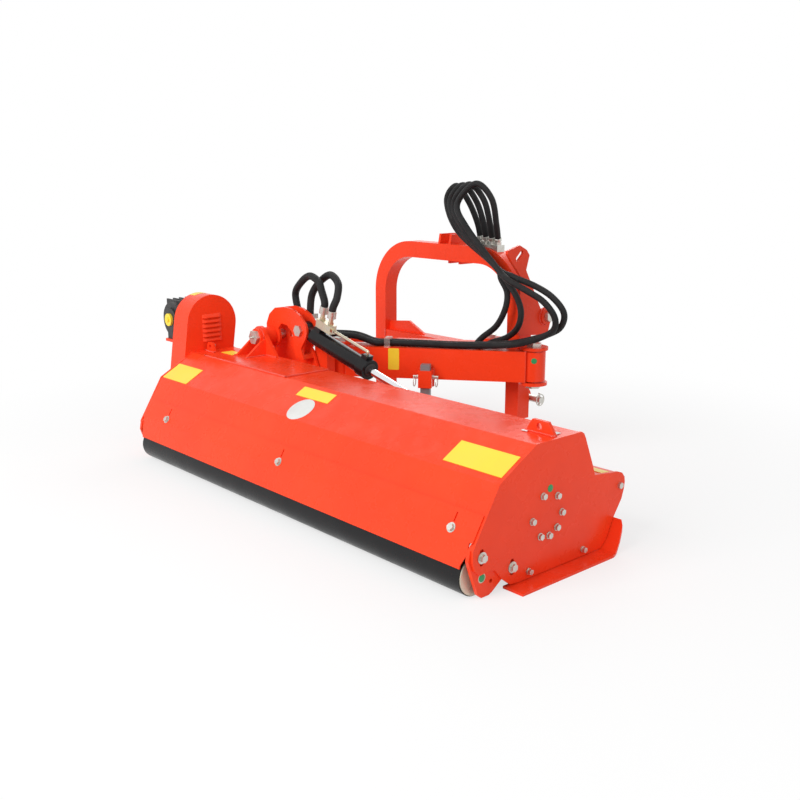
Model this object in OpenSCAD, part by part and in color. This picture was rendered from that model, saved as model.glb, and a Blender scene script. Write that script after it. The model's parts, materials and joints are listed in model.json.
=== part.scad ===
// Offset flail mower on a three-point headstock, in the photographed parked pose.
// Millimetres, x along the rotor, y towards the tractor, z up, ground at z = 0.

/* [Deck] */
// Distance over the two side plates
deck_l = 1900; // [1500:10:2300]
// Side plate thickness
plate_t = 8; // [6:1:10]
// Hood sheet thickness
hood_t = 5; // [3:0.5:6]
// Height of the flat top
top_z = 410; // [404:1:418]
// Height of the rotor axis
rotor_z = 186; // [182:1:192]

/* [Rotor] */
// Rotor tube radius
rotor_r = 74; // [60:1:80]
// Radius of the flail pin circle
flail_pin_r = 100; // [98:1:106]
// Flail length from its pin to its tip
flail_len = 70; // [50:1:72]
// Flails in each of the four rows
flails_per_row = 7; // [5:1:9]

/* [Roller] */
// Rear roller radius
roller_r = 62; // [56:1:64]

/* [Arm] */
// Width of the swing arm tube
arm_w = 100; // [84:2:104]
// Height of the swing arm tube
arm_h = 124; // [110:2:128]
// Underside of the swing arm tube
arm_z = 336; // [334:1:338]
// Side of the square parking leg
leg_w = 38; // [34:2:44]

/* [Tilt cylinder] */
// Barrel radius
barrel_r = 34; // [30:1:36]
// Chromed rod radius
rod_r = 15; // [12:0.5:18]

/* [Headstock] */
// Width over the two legs of the arch
arch_w = 900; // [888:2:912]
// Side of the square arch tube
arch_t = 70; // [64:2:74]
// Top of the arch
arch_z = 848; // [842:2:880]
// Inner bend radius of the arch
arch_ri = 165; // [120:5:180]
// Lower link pin radius
lower_pin_r = 14; // [11:0.5:15]
// Top link bore radius
top_bore_r = 12.75; // [9.5:0.05:13]
// Height of the top link bore above the lower pins
mast_h = 610; // [600:1:614]

/* [Hoses] */
// Outer diameter of the sleeved hoses
hose_d = 25; // [20:1:26]
// Outer diameter of the two loops at the tilt cylinder
loop_d = 30; // [24:1:32]

/* [Hidden] */
$fn = 48;
half = deck_l/2;
inner = half - plate_t;
fit = 0.08;
// Place of the headstock
head_x = -379;
head_y = 900;
head_r = head_x + arch_w/2;
head_l = head_x - arch_w/2;
// Origin at the middle of the footprint
x_left = -half - 268;
x_right = half + 60;
y_rear = -262 - roller_r;
y_front = head_y + 139;
ox = (x_left + x_right)/2;
oy = (y_rear + y_front)/2;
// Points that joints turn on, x and y or x and z
arm_p = [head_r + 93, head_y - 52];
arm_q = [-460, 359];
arm_v = arm_q - arm_p;
arm_n = norm(arm_v);
arm_a = atan2(arm_v[1], arm_v[0]);
arm_top = arm_z + arm_h;
link_d = [-270, 40];
link_p = arm_p + link_d;
link_q = arm_q + link_d;
tilt_e = [-705, 486];
cyl_j = [-520, 526];
cyl_r = [235, 331];
cyl_y = 225;
cyl_v = cyl_r - cyl_j;
cyl_n = norm(cyl_v);
cyl_a = atan2(cyl_v[1], cyl_v[0]);
sw_s = [head_r - 72, head_y - 66];
sw_along = 640;
sw_off = 105;
sw_e = arm_p + sw_along*arm_v/arm_n + sw_off*[arm_v[1], -arm_v[0]]/arm_n;
sw_v = sw_e - sw_s;
sw_n = norm(sw_v);
sw_a = atan2(sw_v[1], sw_v[0]);
sw_z = 385;
roll_c = [-262, roller_r];
guard_c = [351, 199];
pul_c = [50, 525];
gear_x = -half - 190;
low_z = 228;
low_y = head_y + 60;
hitch = 825;
stand_s = 425;

clip_x = [-637, -556];

// Outline of a side plate, y and z
side_pts = [[-309, 155], [-206, top_z - 85], [-55, top_z], [148, top_z], [160, top_z - 8],
    [169, top_z - 24], [210, 292], [222, 260], [340, 246], [362, 238], [376, 222], [379, 205],
    [376, 183], [366, 152], [324, 93], [296, 36], [270, 10], [-115, 10], [-154, 14], [-184, 37],
    [-219, 75], [-239, 81], [-279, 76], [-300, 94], [-309, 120]];
// Outside of the hood sheet from the back seam to the nose
hood_pts = [[-296, 176], [-206, top_z - 87], [-55, top_z - 2], [147, top_z - 2], [158, top_z - 9],
    [167, top_z - 25], [208, 291], [221, 258], [338, 244], [360, 236], [373, 221], [376, 205], [371, 166]];
flap_in = [[-256, 242.2], [-297.4, 174.4], [-319.5, 95]];
flap_x = [-inner + 185, 13, inner - 93];
bolt_a = [49, 109, 184, 244, 279, 313, 355];

// Normal offset of an open line of points
function unit(v) = v/norm(v);
function nrm(a, b) = [-(b - a)[1], (b - a)[0]]/norm(b - a);
function mit(a, b) = (a + b)/(1 + a*b);
function off_pt(p, i, t) = p[i] + t*(i == 0 ? nrm(p[0], p[1]) :
    i == len(p) - 1 ? nrm(p[i - 1], p[i]) : mit(nrm(p[i - 1], p[i]), nrm(p[i], p[i + 1])));
function off_line(p, t) = [for (i = [0:len(p) - 1]) off_pt(p, i, t)];
function rev(p) = [for (i = [len(p) - 1:-1:0]) p[i]];
function sheet(p, t) = concat(p, rev(off_line(p, t)));
// A line at distance d across the arm, s along it from the headstock pin
function on_arm(s, d) = arm_p + s*arm_v/arm_n + d*[arm_v[1], -arm_v[0]]/arm_n;

module cx(r, x0, x1, y, z) translate([x0, y, z]) rotate([0, 90, 0]) cylinder(r = r, h = x1 - x0);
module cy(r, y0, y1, x, z) translate([x, y0, z]) rotate([-90, 0, 0]) cylinder(r = r, h = y1 - y0);
module cz(r, z0, z1, x, y) translate([x, y, z0]) cylinder(r = r, h = z1 - z0);
module box(x0, x1, y0, y1, z0, z1) translate([x0, y0, z0]) cube([x1 - x0, y1 - y0, z1 - z0]);
module hex_x(r, x0, x1, y, z) translate([x0, y, z]) rotate([0, 90, 0]) cylinder(r = r, h = x1 - x0, $fn = 6);
module hex_y(r, y0, y1, x, z) translate([x, y0, z]) rotate([-90, 0, 0]) cylinder(r = r, h = y1 - y0, $fn = 6);
module hex_z(r, z0, z1, x, y) translate([x, y, z0]) cylinder(r = r, h = z1 - z0, $fn = 6);
// Plates from an outline in y and z, x and z, or x and y
module px(pts, x0, x1) translate([x0, 0, 0]) rotate([90, 0, 90]) linear_extrude(x1 - x0) polygon(pts);
module py(pts, y0, y1) translate([0, y1, 0]) rotate([90, 0, 0]) linear_extrude(y1 - y0) polygon(pts);
module pz(pts, z0, z1) translate([0, 0, z0]) linear_extrude(z1 - z0) polygon(pts);
module place() translate([-ox, -oy, 0]) children();
// A band round two circles, as an outline
module band(c1, r1, c2, r2) {
    d = norm(c2 - c1);
    a = atan2((c2 - c1)[1], (c2 - c1)[0]);
    b = acos((r1 - r2)/d);
    translate(c1) circle(r1);
    translate(c2) circle(r2);
    polygon([c1 + r1*[cos(a + b), sin(a + b)], c2 + r2*[cos(a + b), sin(a + b)],
        c2 + r2*[cos(a - b), sin(a - b)], c1 + r1*[cos(a - b), sin(a - b)]]);
}
module band_x(c1, r1, c2, r2, x0, x1)
    translate([x0, 0, 0]) rotate([90, 0, 90]) linear_extrude(x1 - x0) band(c1, r1, c2, r2);
module band_z(c1, r1, c2, r2, z0, z1)
    translate([0, 0, z0]) linear_extrude(z1 - z0) band(c1, r1, c2, r2);
module band_y(c1, r1, c2, r2, y0, y1)
    translate([0, y1, 0]) rotate([90, 0, 0]) linear_extrude(y1 - y0) band(c1, r1, c2, r2);
// Frames of the arm, the tilt cylinder and the swing cylinder
module arm_frame() translate([arm_p[0], arm_p[1], 0]) rotate([0, 0, arm_a]) children();
module tilt_frame() translate([cyl_j[0], cyl_y, cyl_j[1]]) rotate([0, -cyl_a, 0]) children();
module swing_frame() translate([sw_s[0], sw_s[1], sw_z]) rotate([0, 0, sw_a]) children();
module both_ends() {
    children();
    mirror([1, 0, 0]) children();
}

// Deck
module hood() color("orangered") place() difference() {
    px(sheet(hood_pts, -hood_t), -inner, inner);
    for (x = flap_x) translate([x, -287, 190]) rotate([59, 0, 0]) cylinder(r = 6.5, h = 60, center = true);
}
module side_plate(s) difference() {
    px(side_pts, s > 0 ? inner : -half, s > 0 ? half : -inner);
    for (a = bolt_a) cx(6.5, -half - 1, half + 1, 66*cos(a), rotor_z + 66*sin(a));
    for (p = [[-77, 33], [174, 33]]) cx(6.5, -half - 1, half + 1, p[0], p[1]);
    for (p = [[-273, 128], [-147, 65]]) band_x(p - [0, 17], 8, p + [0, 17], 8, -half - 1, half + 1);
    cx(8.5, -half - 1, half + 1, guard_c[0], guard_c[1]);
    if (s < 0) cx(36, -half - 1, -inner + 1, 0, rotor_z);
}
module side_plate_right() color("orangered") place() side_plate(1);
module side_plate_left() color("orangered") place() side_plate(-1);
module rear_flap() color("orangered") place() difference() {
    px(sheet(flap_in, -4), -inner + 0.4, inner - 0.4);
    both_ends() py([[inner - 30, 60], [inner - 30, 107], [inner - 14, 138], [inner - 14, 173.5], [inner + 1, 173.5],
        [inner + 1, 60]], -345, -285);
    for (x = flap_x) {
        translate([x, -287, 190]) rotate([59, 0, 0]) cylinder(r = 6.5, h = 60, center = true);
        translate([x, -270, 218]) rotate([59, 0, 0]) translate([-3, -14, -30]) cube([6, 28, 60]);
    }
}
module skids() color("orangered") place() both_ends() {
    // Sole along the ground, turned up and tapered in front of the side plate
    difference() {
        px([[-166, 0], [268, 0], [281, 4], [307, 32], [334, 87], [337, 95], [330, 98], [326, 91], [298, 35],
            [271, 8], [-166, 8]], inner - 8, half + 60);
        pz([[half + 61, 250], [half + 60, 255], [half + 49, 292], [half + 40, 322], [half + 28, 331], [half + 12, 336],
            [half + 12, 340], [half + 61, 340]], -1, 120);
    }
    difference() {
        px([[-140, 8], [236, 8], [252, 60], [-110, 60]], inner - 8, inner);
        for (p = [[-77, 33], [174, 33]]) cx(6.5, half - 30, half + 30, p[0], p[1]);
    }
}
module deck_bolts() color("silver") place() {
    for (x = flap_x) translate([x, -287, 190]) rotate([59, 0, 0]) {
        translate([0, 0, -14]) cylinder(r = 6, h = 20);
        translate([0, 0, 4]) cylinder(r = 15, h = 3);
        translate([0, 0, 7]) cylinder(r = 11, h = 8, $fn = 6);
    }
    both_ends() end_bolts();
}
module end_bolts() {
    for (a = bolt_a) {
        cx(6, inner - 20, half + 3, 66*cos(a), rotor_z + 66*sin(a));
        cx(11, half, half + 2.5, 66*cos(a), rotor_z + 66*sin(a));
        hex_x(10, half + 2.5, half + 11, 66*cos(a), rotor_z + 66*sin(a));
    }
    for (p = [[-77, 33], [174, 33]]) {
        cx(6, inner - 8, half + 3, p[0], p[1]);
        cx(10, half, half + 4, p[0], p[1]);
        hex_x(9, half + 4, half + 15, p[0], p[1]);
    }
    for (p = [[-273, 128], [-147, 65]]) {
        cx(7, inner - 12, half + 3, p[0], p[1]);
        cx(17, half, half + 3, p[0], p[1]);
        hex_x(12, half + 3, half + 13, p[0], p[1]);
    }
    hex_x(11, half, half + 9, guard_c[0], guard_c[1]);
}
module roller_brackets() color("orangered") place() both_ends() difference() {
    px([[-318, 122], [-302, 76], [-277, 14], [-264, 3], [-233, 3], [-220, 9], [-178, 38], [-136, 36], [-118, 52], [-118, 80],
        [-138, 96], [-190, 100], [-236, 160], [-262, 172], [-290, 172], [-312, 154]], inner - 12, inner);
    for (p = [[-273, 128], [-147, 65]]) cx(7, inner - 20, inner + 1, p[0], p[1]);
    cx(15 + fit, inner - 20, inner + 1, roll_c[0], roll_c[1]);
    cx(6, inner - 20, inner + 1, -226, 44);
}
module roller() color("black") place() difference() {
    cx(roller_r, -inner + 30, inner - 30, roll_c[0], roll_c[1]);
    cx(roller_r - 5, -inner, inner, roll_c[0], roll_c[1]);
}
module roller_ends() color("ivory") place() both_ends() {
    cx(roller_r - 5, inner - 44, inner - 30, roll_c[0], roll_c[1]);
    cx(roller_r - 3, inner - 30, inner - 26, roll_c[0], roll_c[1]);
    cx(15, inner - 26, inner - 1, roll_c[0], roll_c[1]);
}
module bearing_housings() color("dimgray") place() both_ends() difference() {
    union() {
        cx(86, inner - 20, inner, 0, rotor_z);
        cx(56, inner - 36, inner - 20, 0, rotor_z);
    }
    for (a = bolt_a) cx(6.2, inner - 40, inner + 1, 66*cos(a), rotor_z + 66*sin(a));
    cx(25 + fit, inner - 40, inner + 1, 0, rotor_z);
}
module guard_rod() color("silver") place() cx(8, -half, half, guard_c[0], guard_c[1]);
module front_guards() color("dimgray") place() for (i = [0:17]) {
    w = (2*inner - 40)/18;
    x = -inner + 20 + w*i;
    difference() {
        union() {
            cx(12, x + 2, x + w - 2, guard_c[0], guard_c[1]);
            box(x + 2, x + w - 2, guard_c[0] - 2, guard_c[0] + 2, 70, guard_c[1]);
        }
        cx(8 + fit, x, x + w, guard_c[0], guard_c[1]);
    }
}
module decal_plates() color("gold") place() {
    // Blank plates on the sloping back face of the hood, then on its top and its nose
    for (p = [[inner - 122, -146, 232, 90], [-33, -92, 184, 48], [-inner + 100, -163, 186, 92]])
        translate([p[0], p[1], top_z - 86.9 + 85*(p[1] + 206)/151]) rotate([atan2(85, 151), 0, 0])
            translate([-p[2]/2, -p[3]/2, 0]) cube([p[2], p[3], 1.6]);
    box(-836, -752, 20, 72, top_z + 4.1, top_z + 5.5);
    translate([inner - 42, 290, 249.9]) rotate([-atan2(14, 117), 0, 0]) translate([-38, -20, 0]) cube([76, 40, 1.6]);
}
// Rotor and its drive
function flail_x(k, i) = -inner + 110 + (2*inner - 220)*(i + 0.25*k)/(flails_per_row - 0.25);
module rotor_lug() for (s = [-1, 1]) difference() {
    translate([s*19 - 4, -20, rotor_r - 6]) cube([8, 40, flail_pin_r - rotor_r + 20]);
    cx(8, -40, 40, 0, flail_pin_r);
}
module rotor() color("dimgray") place() {
    difference() {
        union() {
            cx(rotor_r, -inner + 42, inner - 42, 0, rotor_z);
            for (k = [0:3], i = [0:flails_per_row - 1])
                translate([flail_x(k, i), 0, rotor_z]) rotate([90*k + 45, 0, 0]) rotor_lug();
        }
        cx(rotor_r - 9, -inner + 54, inner - 54, 0, rotor_z);
    }
    cx(25, inner - 42, inner - 2, 0, rotor_z);
    cx(25, -half - 98, -inner + 42, 0, rotor_z);
}
module flail_pins() color("silver") place() for (k = [0:3], i = [0:flails_per_row - 1])
    translate([flail_x(k, i), 0, rotor_z]) rotate([90*k + 45, 0, 0]) {
        cx(8, -27, 27, 0, flail_pin_r);
        cx(13, 23, 29, 0, flail_pin_r);
        cx(13, -29, -23, 0, flail_pin_r);
    }
module flails(k) place() for (i = [0:flails_per_row - 1])
    translate([flail_x(k, i), 0, rotor_z]) rotate([90*k + 45, 0, 0]) difference() {
        union() {
            cx(14, -14, 14, 0, flail_pin_r);
            translate([-14, -8, flail_pin_r]) cube([28, 16, flail_len - 22]);
            translate([-38, -11, flail_pin_r + flail_len - 26]) cube([76, 20, 24]);
        }
        cx(8 + fit, -40, 40, 0, flail_pin_r);
    }
module flail_row_a() color("gray") flails(0);
module flail_row_b() color("gray") flails(1);
module flail_row_c() color("gray") flails(2);
module flail_row_d() color("gray") flails(3);
module pulley(r, x0, x1, c, b) difference() {
    cx(r + 8, x0, x1, c[0], c[1]);
    for (i = [0:2]) difference() {
        cx(r + 9, x0 + 6 + 24*i, x0 + 26 + 24*i, c[0], c[1]);
        cx(r - 4, x0, x1, c[0], c[1]);
    }
    cx(b, x0 - 1, x1 + 1, c[0], c[1]);
}
module rotor_pulley() color("dimgray") place() pulley(76, -half - 96, -half - 16, [0, rotor_z], 25);
module belt_loop(r1, r2, x0, x1) translate([x0, 0, 0]) rotate([90, 0, 90]) linear_extrude(x1 - x0) {
    // The straight runs lie a hair inside the round ends
    c1 = [0, rotor_z];
    translate(c1) circle(r1);
    translate(pul_c) circle(r2);
    a = atan2(pul_c[1] - c1[1], pul_c[0] - c1[0]);
    b = acos((r1 - r2)/norm(pul_c - c1));
    polygon([c1 + (r1 - 0.1)*[cos(a + b), sin(a + b)], pul_c + (r2 - 0.1)*[cos(a + b), sin(a + b)],
        pul_c + (r2 - 0.1)*[cos(a - b), sin(a - b)], c1 + (r1 - 0.1)*[cos(a - b), sin(a - b)]]);
}
module drive_belts() color("black") place() for (i = [0:2]) difference() {
    x = -half - 96 + 16 + 24*i;
    belt_loop(83, 95, x - 8, x + 8);
    belt_loop(73, 85, x - 9, x + 9);
}
module drive_pulley() color("dimgray") place() {
    pulley(88, -half - 96, -half - 16, pul_c, 23);
    cx(24, -half - 98, -half - 12, pul_c[0], pul_c[1]);
    cx(20, gear_x + 60, -half - 98, pul_c[0], pul_c[1]);
    // Bevel pinion with its point where the two shafts would meet
    translate([gear_x + 36, pul_c[0], pul_c[1]]) rotate([0, 90, 0]) cylinder(r1 = 12, r2 = 20, h = 24);
}
module pto_shaft() color("silver") place() {
    cy(17, pul_c[0] - 72, pul_c[0] + 110, gear_x, pul_c[1]);
    cy(17.4, pul_c[0] + 110, pul_c[0] + 190, gear_x, pul_c[1]);
    // Crown wheel, a plain cone with a small gap to the pinion
    translate([gear_x, pul_c[0] - 34, pul_c[1]]) rotate([-90, 0, 0]) cylinder(r = 57, h = 13);
    translate([gear_x, pul_c[0] - 21, pul_c[1]]) rotate([-90, 0, 0]) cylinder(r1 = 57, r2 = 36, h = 7);
}
module gearbox() color("black") place() difference() {
    union() {
        cy(74, pul_c[0] - 86, pul_c[0] + 96, gear_x, pul_c[1]);
        cy(50, pul_c[0] - 96, pul_c[0] + 108, gear_x, pul_c[1]);
        cx(66, gear_x, -half - 124, pul_c[0], pul_c[1]);
        for (y = [-60, -30, 0, 30, 60]) box(gear_x - 78, gear_x + 40, pul_c[0] + y - 4, pul_c[0] + y + 4, pul_c[1] - 84, pul_c[1] + 82);
        box(gear_x - 60, gear_x + 60, pul_c[0] - 76, pul_c[0] + 86, pul_c[1] - 90, pul_c[1] - 60);
    }
    box(-half - 124, -half, -120, 240, pul_c[1] - 110, pul_c[1] + 110);
    cy(62, pul_c[0] - 74, pul_c[0] + 84, gear_x, pul_c[1]);
    cx(48, gear_x, -half - 136, pul_c[0], pul_c[1]);
    cx(20 + fit, gear_x, -half, pul_c[0], pul_c[1]);
    cy(17 + fit, pul_c[0], pul_c[0] + 200, gear_x, pul_c[1]);
}
module gearbox_cap() color("gold") place() {
    cy(27, pul_c[0] - 106, pul_c[0] - 96, gear_x, pul_c[1]);
    hex_y(11, pul_c[0] - 112, pul_c[0] - 106, gear_x, pul_c[1]);
}
module belt_cover() color("orangered") place() difference() {
    union() {
        band_x([0, rotor_z], 118, pul_c, 118, -half - 112, -half);
        // Plate and shelf that hold the gearbox
        box(-half - 124, -half - 112, -40, 140, pul_c[1] - 102, pul_c[1] + 60);
        box(gear_x - 64, -half - 124, -36, 132, pul_c[1] - 102, pul_c[1] - 90);
    }
    band_x([0, rotor_z], 115, pul_c, 115, -half - 109, -half - 3);
    cx(88, -half - 4, -half + 1, 0, rotor_z);
    cx(30, -half - 125, -half - 108, pul_c[0], pul_c[1]);
    for (i = [0:5]) box(-half - 4, -half + 1, 4, 92, 450 + 20*i, 456 + 20*i);
}
// Tilt bracket and pin on the deck
module deck_solid() px(concat(hood_pts, [[371, 20], [-296, 20]]), -half, half);
module tilt_bracket() color("orangered") place() difference() {
    union() {
        box(-840, -270, -54, 146, top_z - 2, top_z + 4);
        cy(44, 124, 140, tilt_e[0], tilt_e[1]);
        py([[-820, top_z + 4], [-590, top_z + 4], [-664, 498], [-746, 498]], 124, 140);
        cy(36, 108, 186, tilt_e[0], tilt_e[1]);
        px([[30, top_z + 4], [124, top_z + 4], [124, 480], [100, 470]], -746, -734);
        px([[30, top_z + 4], [124, top_z + 4], [124, 480], [100, 470]], -672, -660);
        // Lifting eyes, then the lugs of the cylinder rod
        py([[12 - half, top_z - 2], [72 - half, top_z - 2], [60 - half, top_z + 38], [25 - half, top_z + 38]], 10, 22);
        py([[half - 130, top_z - 2], [half - 17, top_z - 2], [half - 45, top_z + 38], [half - 104, top_z + 38]], 44, 56);
        for (y = [199, 241]) py([[190, 240], [300, 240], [262, 346], [235, 358], [208, 346]], y, y + 10);
    }
    deck_solid();
    cy(10, 0, 30, 42 - half, top_z + 20);
    cy(10, 40, 60, half - 78, top_z + 20);
    cy(20, 90, 200, tilt_e[0], tilt_e[1]);
    cy(8, 190, 260, cyl_r[0], cyl_r[1]);
}
module deck_pins() color("silver") place() {
    cy(20, 108, 276, tilt_e[0], tilt_e[1]);
    hex_y(30, 92, 108, tilt_e[0], tilt_e[1]);
    hex_y(30, 262, 276, tilt_e[0], tilt_e[1]);
    cy(8, 194, 256, cyl_r[0], cyl_r[1]);
    hex_y(15, 251, 260, cyl_r[0], cyl_r[1]);
}
// Carrier between the arm and the deck
hump_pts = [[-748, 470], [-752, 530], [-730, 572], [-688, 602], [-625, 612], [-565, 608], [-515, 588],
    [-478, 556], [-470, 522], [-486, 488], [-512, 452], [-492, 412], [-545, 412], [-562, 452], [-562, 492],
    [-575, 516], [-604, 538], [-644, 542], [-668, 518], [-672, 470]];
module hump_plates() color("orangered") place() difference() {
    union() {
        py(hump_pts, 194, 204);
        cy(48, 194, 204, tilt_e[0], tilt_e[1]);
        cy(50, 194, 204, cyl_j[0], cyl_j[1]);
        py(hump_pts, 246, 256);
        py([[-748, 480], [-740, 345], [-455, 345], [-500, 440], [-540, 480]], 246, 256);
        cy(48, 246, 256, tilt_e[0], tilt_e[1]);
        cy(50, 246, 256, cyl_j[0], cyl_j[1]);
        py([[-545, 412], [-492, 412], [-500, 428], [-553, 428]], 204, 246);
        cy(34, 188, 194, tilt_e[0], tilt_e[1]);
    }
    cy(20 + fit, 180, 262, tilt_e[0], tilt_e[1]);
    cy(15, 180, 262, cyl_j[0], cyl_j[1]);
}
module carrier() color("orangered") place() difference() {
    union() {
        box(-785, -425, 256, 300, 345, 425);
        // Lugs of the arm pin with a web behind them
        for (z = [arm_z - 15, arm_top + 3]) {
            cz(46, z, z + 12, arm_q[0], arm_q[1]);
            box(arm_q[0] - 46, arm_q[0] + 46, 256, arm_q[1], z, z + 12);
        }
        box(arm_q[0] - 46, arm_q[0] + 35, 256, 300, arm_z - 15, arm_top + 15);
        // Lugs of the parallel link pin
        for (z = [421, 460]) {
            cz(40, z, z + 12, link_q[0], link_q[1]);
            box(link_q[0] - 40, link_q[0] + 40, 290, link_q[1], z, z + 12);
        }
        box(link_q[0] - 40, link_q[0] + 40, 290, 302, 345, 472);
        box(link_q[0] - 6, link_q[0] + 6, 300, 370, 360, 421);
    }
    cz(20, 300, 500, arm_q[0], arm_q[1]);
    cz(14, 400, 500, link_q[0], link_q[1]);
    // Room for the tilt cylinder as it turns
    cy(192, 250, 261, cyl_j[0], cyl_j[1]);
}
module king_nuts(r, rh, p, z0, z1) {
    cz(r, z0, z1, p[0], p[1]);
    hex_z(rh, z0, z0 + 14, p[0], p[1]);
    hex_z(rh, z1 - 14, z1, p[0], p[1]);
}
module carrier_pins() color("silver") place() {
    king_nuts(20, 30, arm_q, arm_z - 29, arm_top + 29);
    king_nuts(14, 22, link_q, 407, 486);
    cy(15, 182, 266, cyl_j[0], cyl_j[1]);
    hex_y(24, 182, 194, cyl_j[0], cyl_j[1]);
    hex_y(24, 256, 266, cyl_j[0], cyl_j[1]);
}
module hose_clip() color("silver") place() for (x = clip_x) difference() {
    box(x - 22, x + 22, 256, 302, 564, 584);
    cz(loop_d/2, 560, 590, x, 278);
}
// Tilt cylinder
module tilt_barrel() color("black") place() tilt_frame() difference() {
    union() {
        rotate([90, 0, 0]) cylinder(r = 34, h = 38, center = true);
        translate([18, -19, -24]) cube([50, 38, 48]);
        rotate([0, 90, 0]) translate([0, 0, 66]) cylinder(r = barrel_r, h = 340);
        rotate([0, 90, 0]) translate([0, 0, 372]) cylinder(r = barrel_r + 6, h = 48);
        translate([78, -18, barrel_r - 6]) cube([34, 36, 20]);
        translate([376, -16, barrel_r - 4]) cube([32, 32, 22]);
    }
    rotate([90, 0, 0]) cylinder(r = 15 + fit, h = 60, center = true);
    rotate([0, 90, 0]) translate([0, 0, 78]) cylinder(r = barrel_r - 6, h = 304);
    rotate([0, 90, 0]) translate([0, 0, 380]) cylinder(r = rod_r + fit, h = 60);
}
module tilt_rod() color("lightgray") place() tilt_frame() {
    rotate([0, 90, 0]) translate([0, 0, 240]) cylinder(r = rod_r, h = cyl_n - 240 - 24);
    rotate([0, 90, 0]) translate([0, 0, 250]) cylinder(r = barrel_r - 6 - fit, h = 30);
    translate([cyl_n, 0, 0]) difference() {
        rotate([90, 0, 0]) cylinder(r = 31, h = 24, center = true);
        rotate([90, 0, 0]) cylinder(r = 22, h = 30, center = true);
    }
}
module tilt_valve() color("goldenrod") place() tilt_frame() {
    // Check valve block with its hose fittings and the pipe to the far port
    translate([80, -16, barrel_r + 14]) cube([92, 32, 34]);
    for (x = [98, 152]) {
        translate([x, 0, barrel_r + 48]) cylinder(r = 12, h = 10, $fn = 6);
        translate([x, 0, barrel_r + 58]) cylinder(r = 9, h = 16);
    }
    translate([172, 0, barrel_r + 30]) rotate([0, 90, 0]) cylinder(r = 11, h = 12, $fn = 6);
    translate([184, 0, barrel_r + 30]) rotate([0, 90, 0]) cylinder(r = 6, h = 208);
    translate([392, 0, barrel_r + 18]) cylinder(r = 6, h = 12);
    translate([392, 0, barrel_r + 30]) sphere(r = 6);
}
// Swing arm and its parallel link
module arm() color("orangered") place() difference() {
    union() {
        cz(arm_w/2 - 3, arm_z + 2, arm_top - 2, arm_p[0], arm_p[1]);
        cz(arm_w/2 - 3, arm_z + 2, arm_top - 2, arm_q[0], arm_q[1]);
        difference() {
            arm_frame() box(30, arm_n - 30, -arm_w/2, arm_w/2, arm_z, arm_top);
            arm_frame() box(70, arm_n - 70, -arm_w/2 + 8, arm_w/2 - 8, arm_z + 8, arm_top - 8);
        }
        // Lugs that carry the swing cylinder
        for (z = [sw_z - 26, sw_z + 16]) {
            cz(30, z, z + 10, sw_e[0], sw_e[1]);
            arm_frame() box(sw_along - 28, sw_along + 28, -sw_off, -arm_w/2 + 2, z, z + 10);
        }
    }
    cz(20 + fit, 300, 500, arm_p[0], arm_p[1]);
    cz(20 + fit, 300, 500, arm_q[0], arm_q[1]);
    cz(8, 300, 500, sw_e[0], sw_e[1]);
}
module stand_sleeve() color("orangered") place() arm_frame() difference() {
    box(stand_s - leg_w/2 - 8, stand_s + leg_w/2 + 8, arm_w/2, arm_w/2 + leg_w + 17, arm_z - 26, arm_z + 44);
    box(stand_s - leg_w/2 - fit, stand_s + leg_w/2 + fit, arm_w/2 + 8.5 - fit, arm_w/2 + leg_w + 8.5 + fit, 0, 500);
}
module parking_leg() color("gray") place() arm_frame() {
    box(stand_s - leg_w/2, stand_s + leg_w/2, arm_w/2 + 8.5, arm_w/2 + 8.5 + leg_w, 10, arm_z + 66);
    box(stand_s - 65, stand_s + 65, arm_w/2 - 32, arm_w/2 + 98, 0, 10);
}
module arm_fittings() color("silver") place() {
    // Clamp of the two hoses, pin of the swing cylinder, pins of the parking leg
    difference() {
        arm_frame() box(580, 604, -30, 30, arm_top, arm_top + 34);
        for (d = [-13, 13]) arm_frame() translate([570, d, arm_top + 14.5]) rotate([0, 90, 0]) cylinder(r = hose_d/2, h = 50);
    }
    cz(8, sw_z - 30, sw_z + 32, sw_e[0], sw_e[1]);
    hex_z(14, sw_z + 26, sw_z + 36, sw_e[0], sw_e[1]);
    for (s = [-1, 1]) arm_frame() translate([stand_s + s*(leg_w/2 + 8), arm_w/2 + 8.5 + leg_w/2, arm_z + 16]) rotate([0, s*90, 0]) {
        cylinder(r = 9, h = 6);
        cylinder(r = 6, h = 24);
    }
}
module parallel_link() color("orangered") place() difference() {
    union() {
        cz(34, 436, 457, link_p[0], link_p[1]);
        cz(34, 436, 457, link_q[0], link_q[1]);
        translate([link_p[0], link_p[1], 0]) rotate([0, 0, arm_a]) box(20, arm_n - 20, -20, 20, 438, 455);
    }
    cz(14 + fit, 400, 500, link_p[0], link_p[1]);
    cz(14 + fit, 400, 500, link_q[0], link_q[1]);
}
// Swing cylinder
module swing_barrel() color("black") place() swing_frame() difference() {
    union() {
        cylinder(r = 30, h = 34, center = true);
        translate([8, -26, -15]) cube([40, 52, 30]);
        rotate([0, 90, 0]) translate([0, 0, 40]) cylinder(r = 27, h = 340);
        rotate([0, 90, 0]) translate([0, 0, 366]) cylinder(r = 31, h = 26);
        for (x = [60, 104]) translate([x, 0, 22]) cylinder(r = 11, h = 12);
    }
    cylinder(r = 13 + fit, h = 60, center = true);
    rotate([0, 90, 0]) translate([0, 0, 48]) cylinder(r = 22, h = 326);
    rotate([0, 90, 0]) translate([0, 0, 360]) cylinder(r = 12 + fit, h = 60);
}
module swing_rod() color("lightgray") place() swing_frame() {
    rotate([0, 90, 0]) translate([0, 0, 52]) cylinder(r = 12, h = sw_n - 52 - 26);
    rotate([0, 90, 0]) translate([0, 0, 52]) cylinder(r = 22 - fit, h = 20);
    translate([sw_n, 0, 0]) difference() {
        cylinder(r = 33, h = 26, center = true);
        cylinder(r = 24, h = 30, center = true);
    }
}
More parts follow.
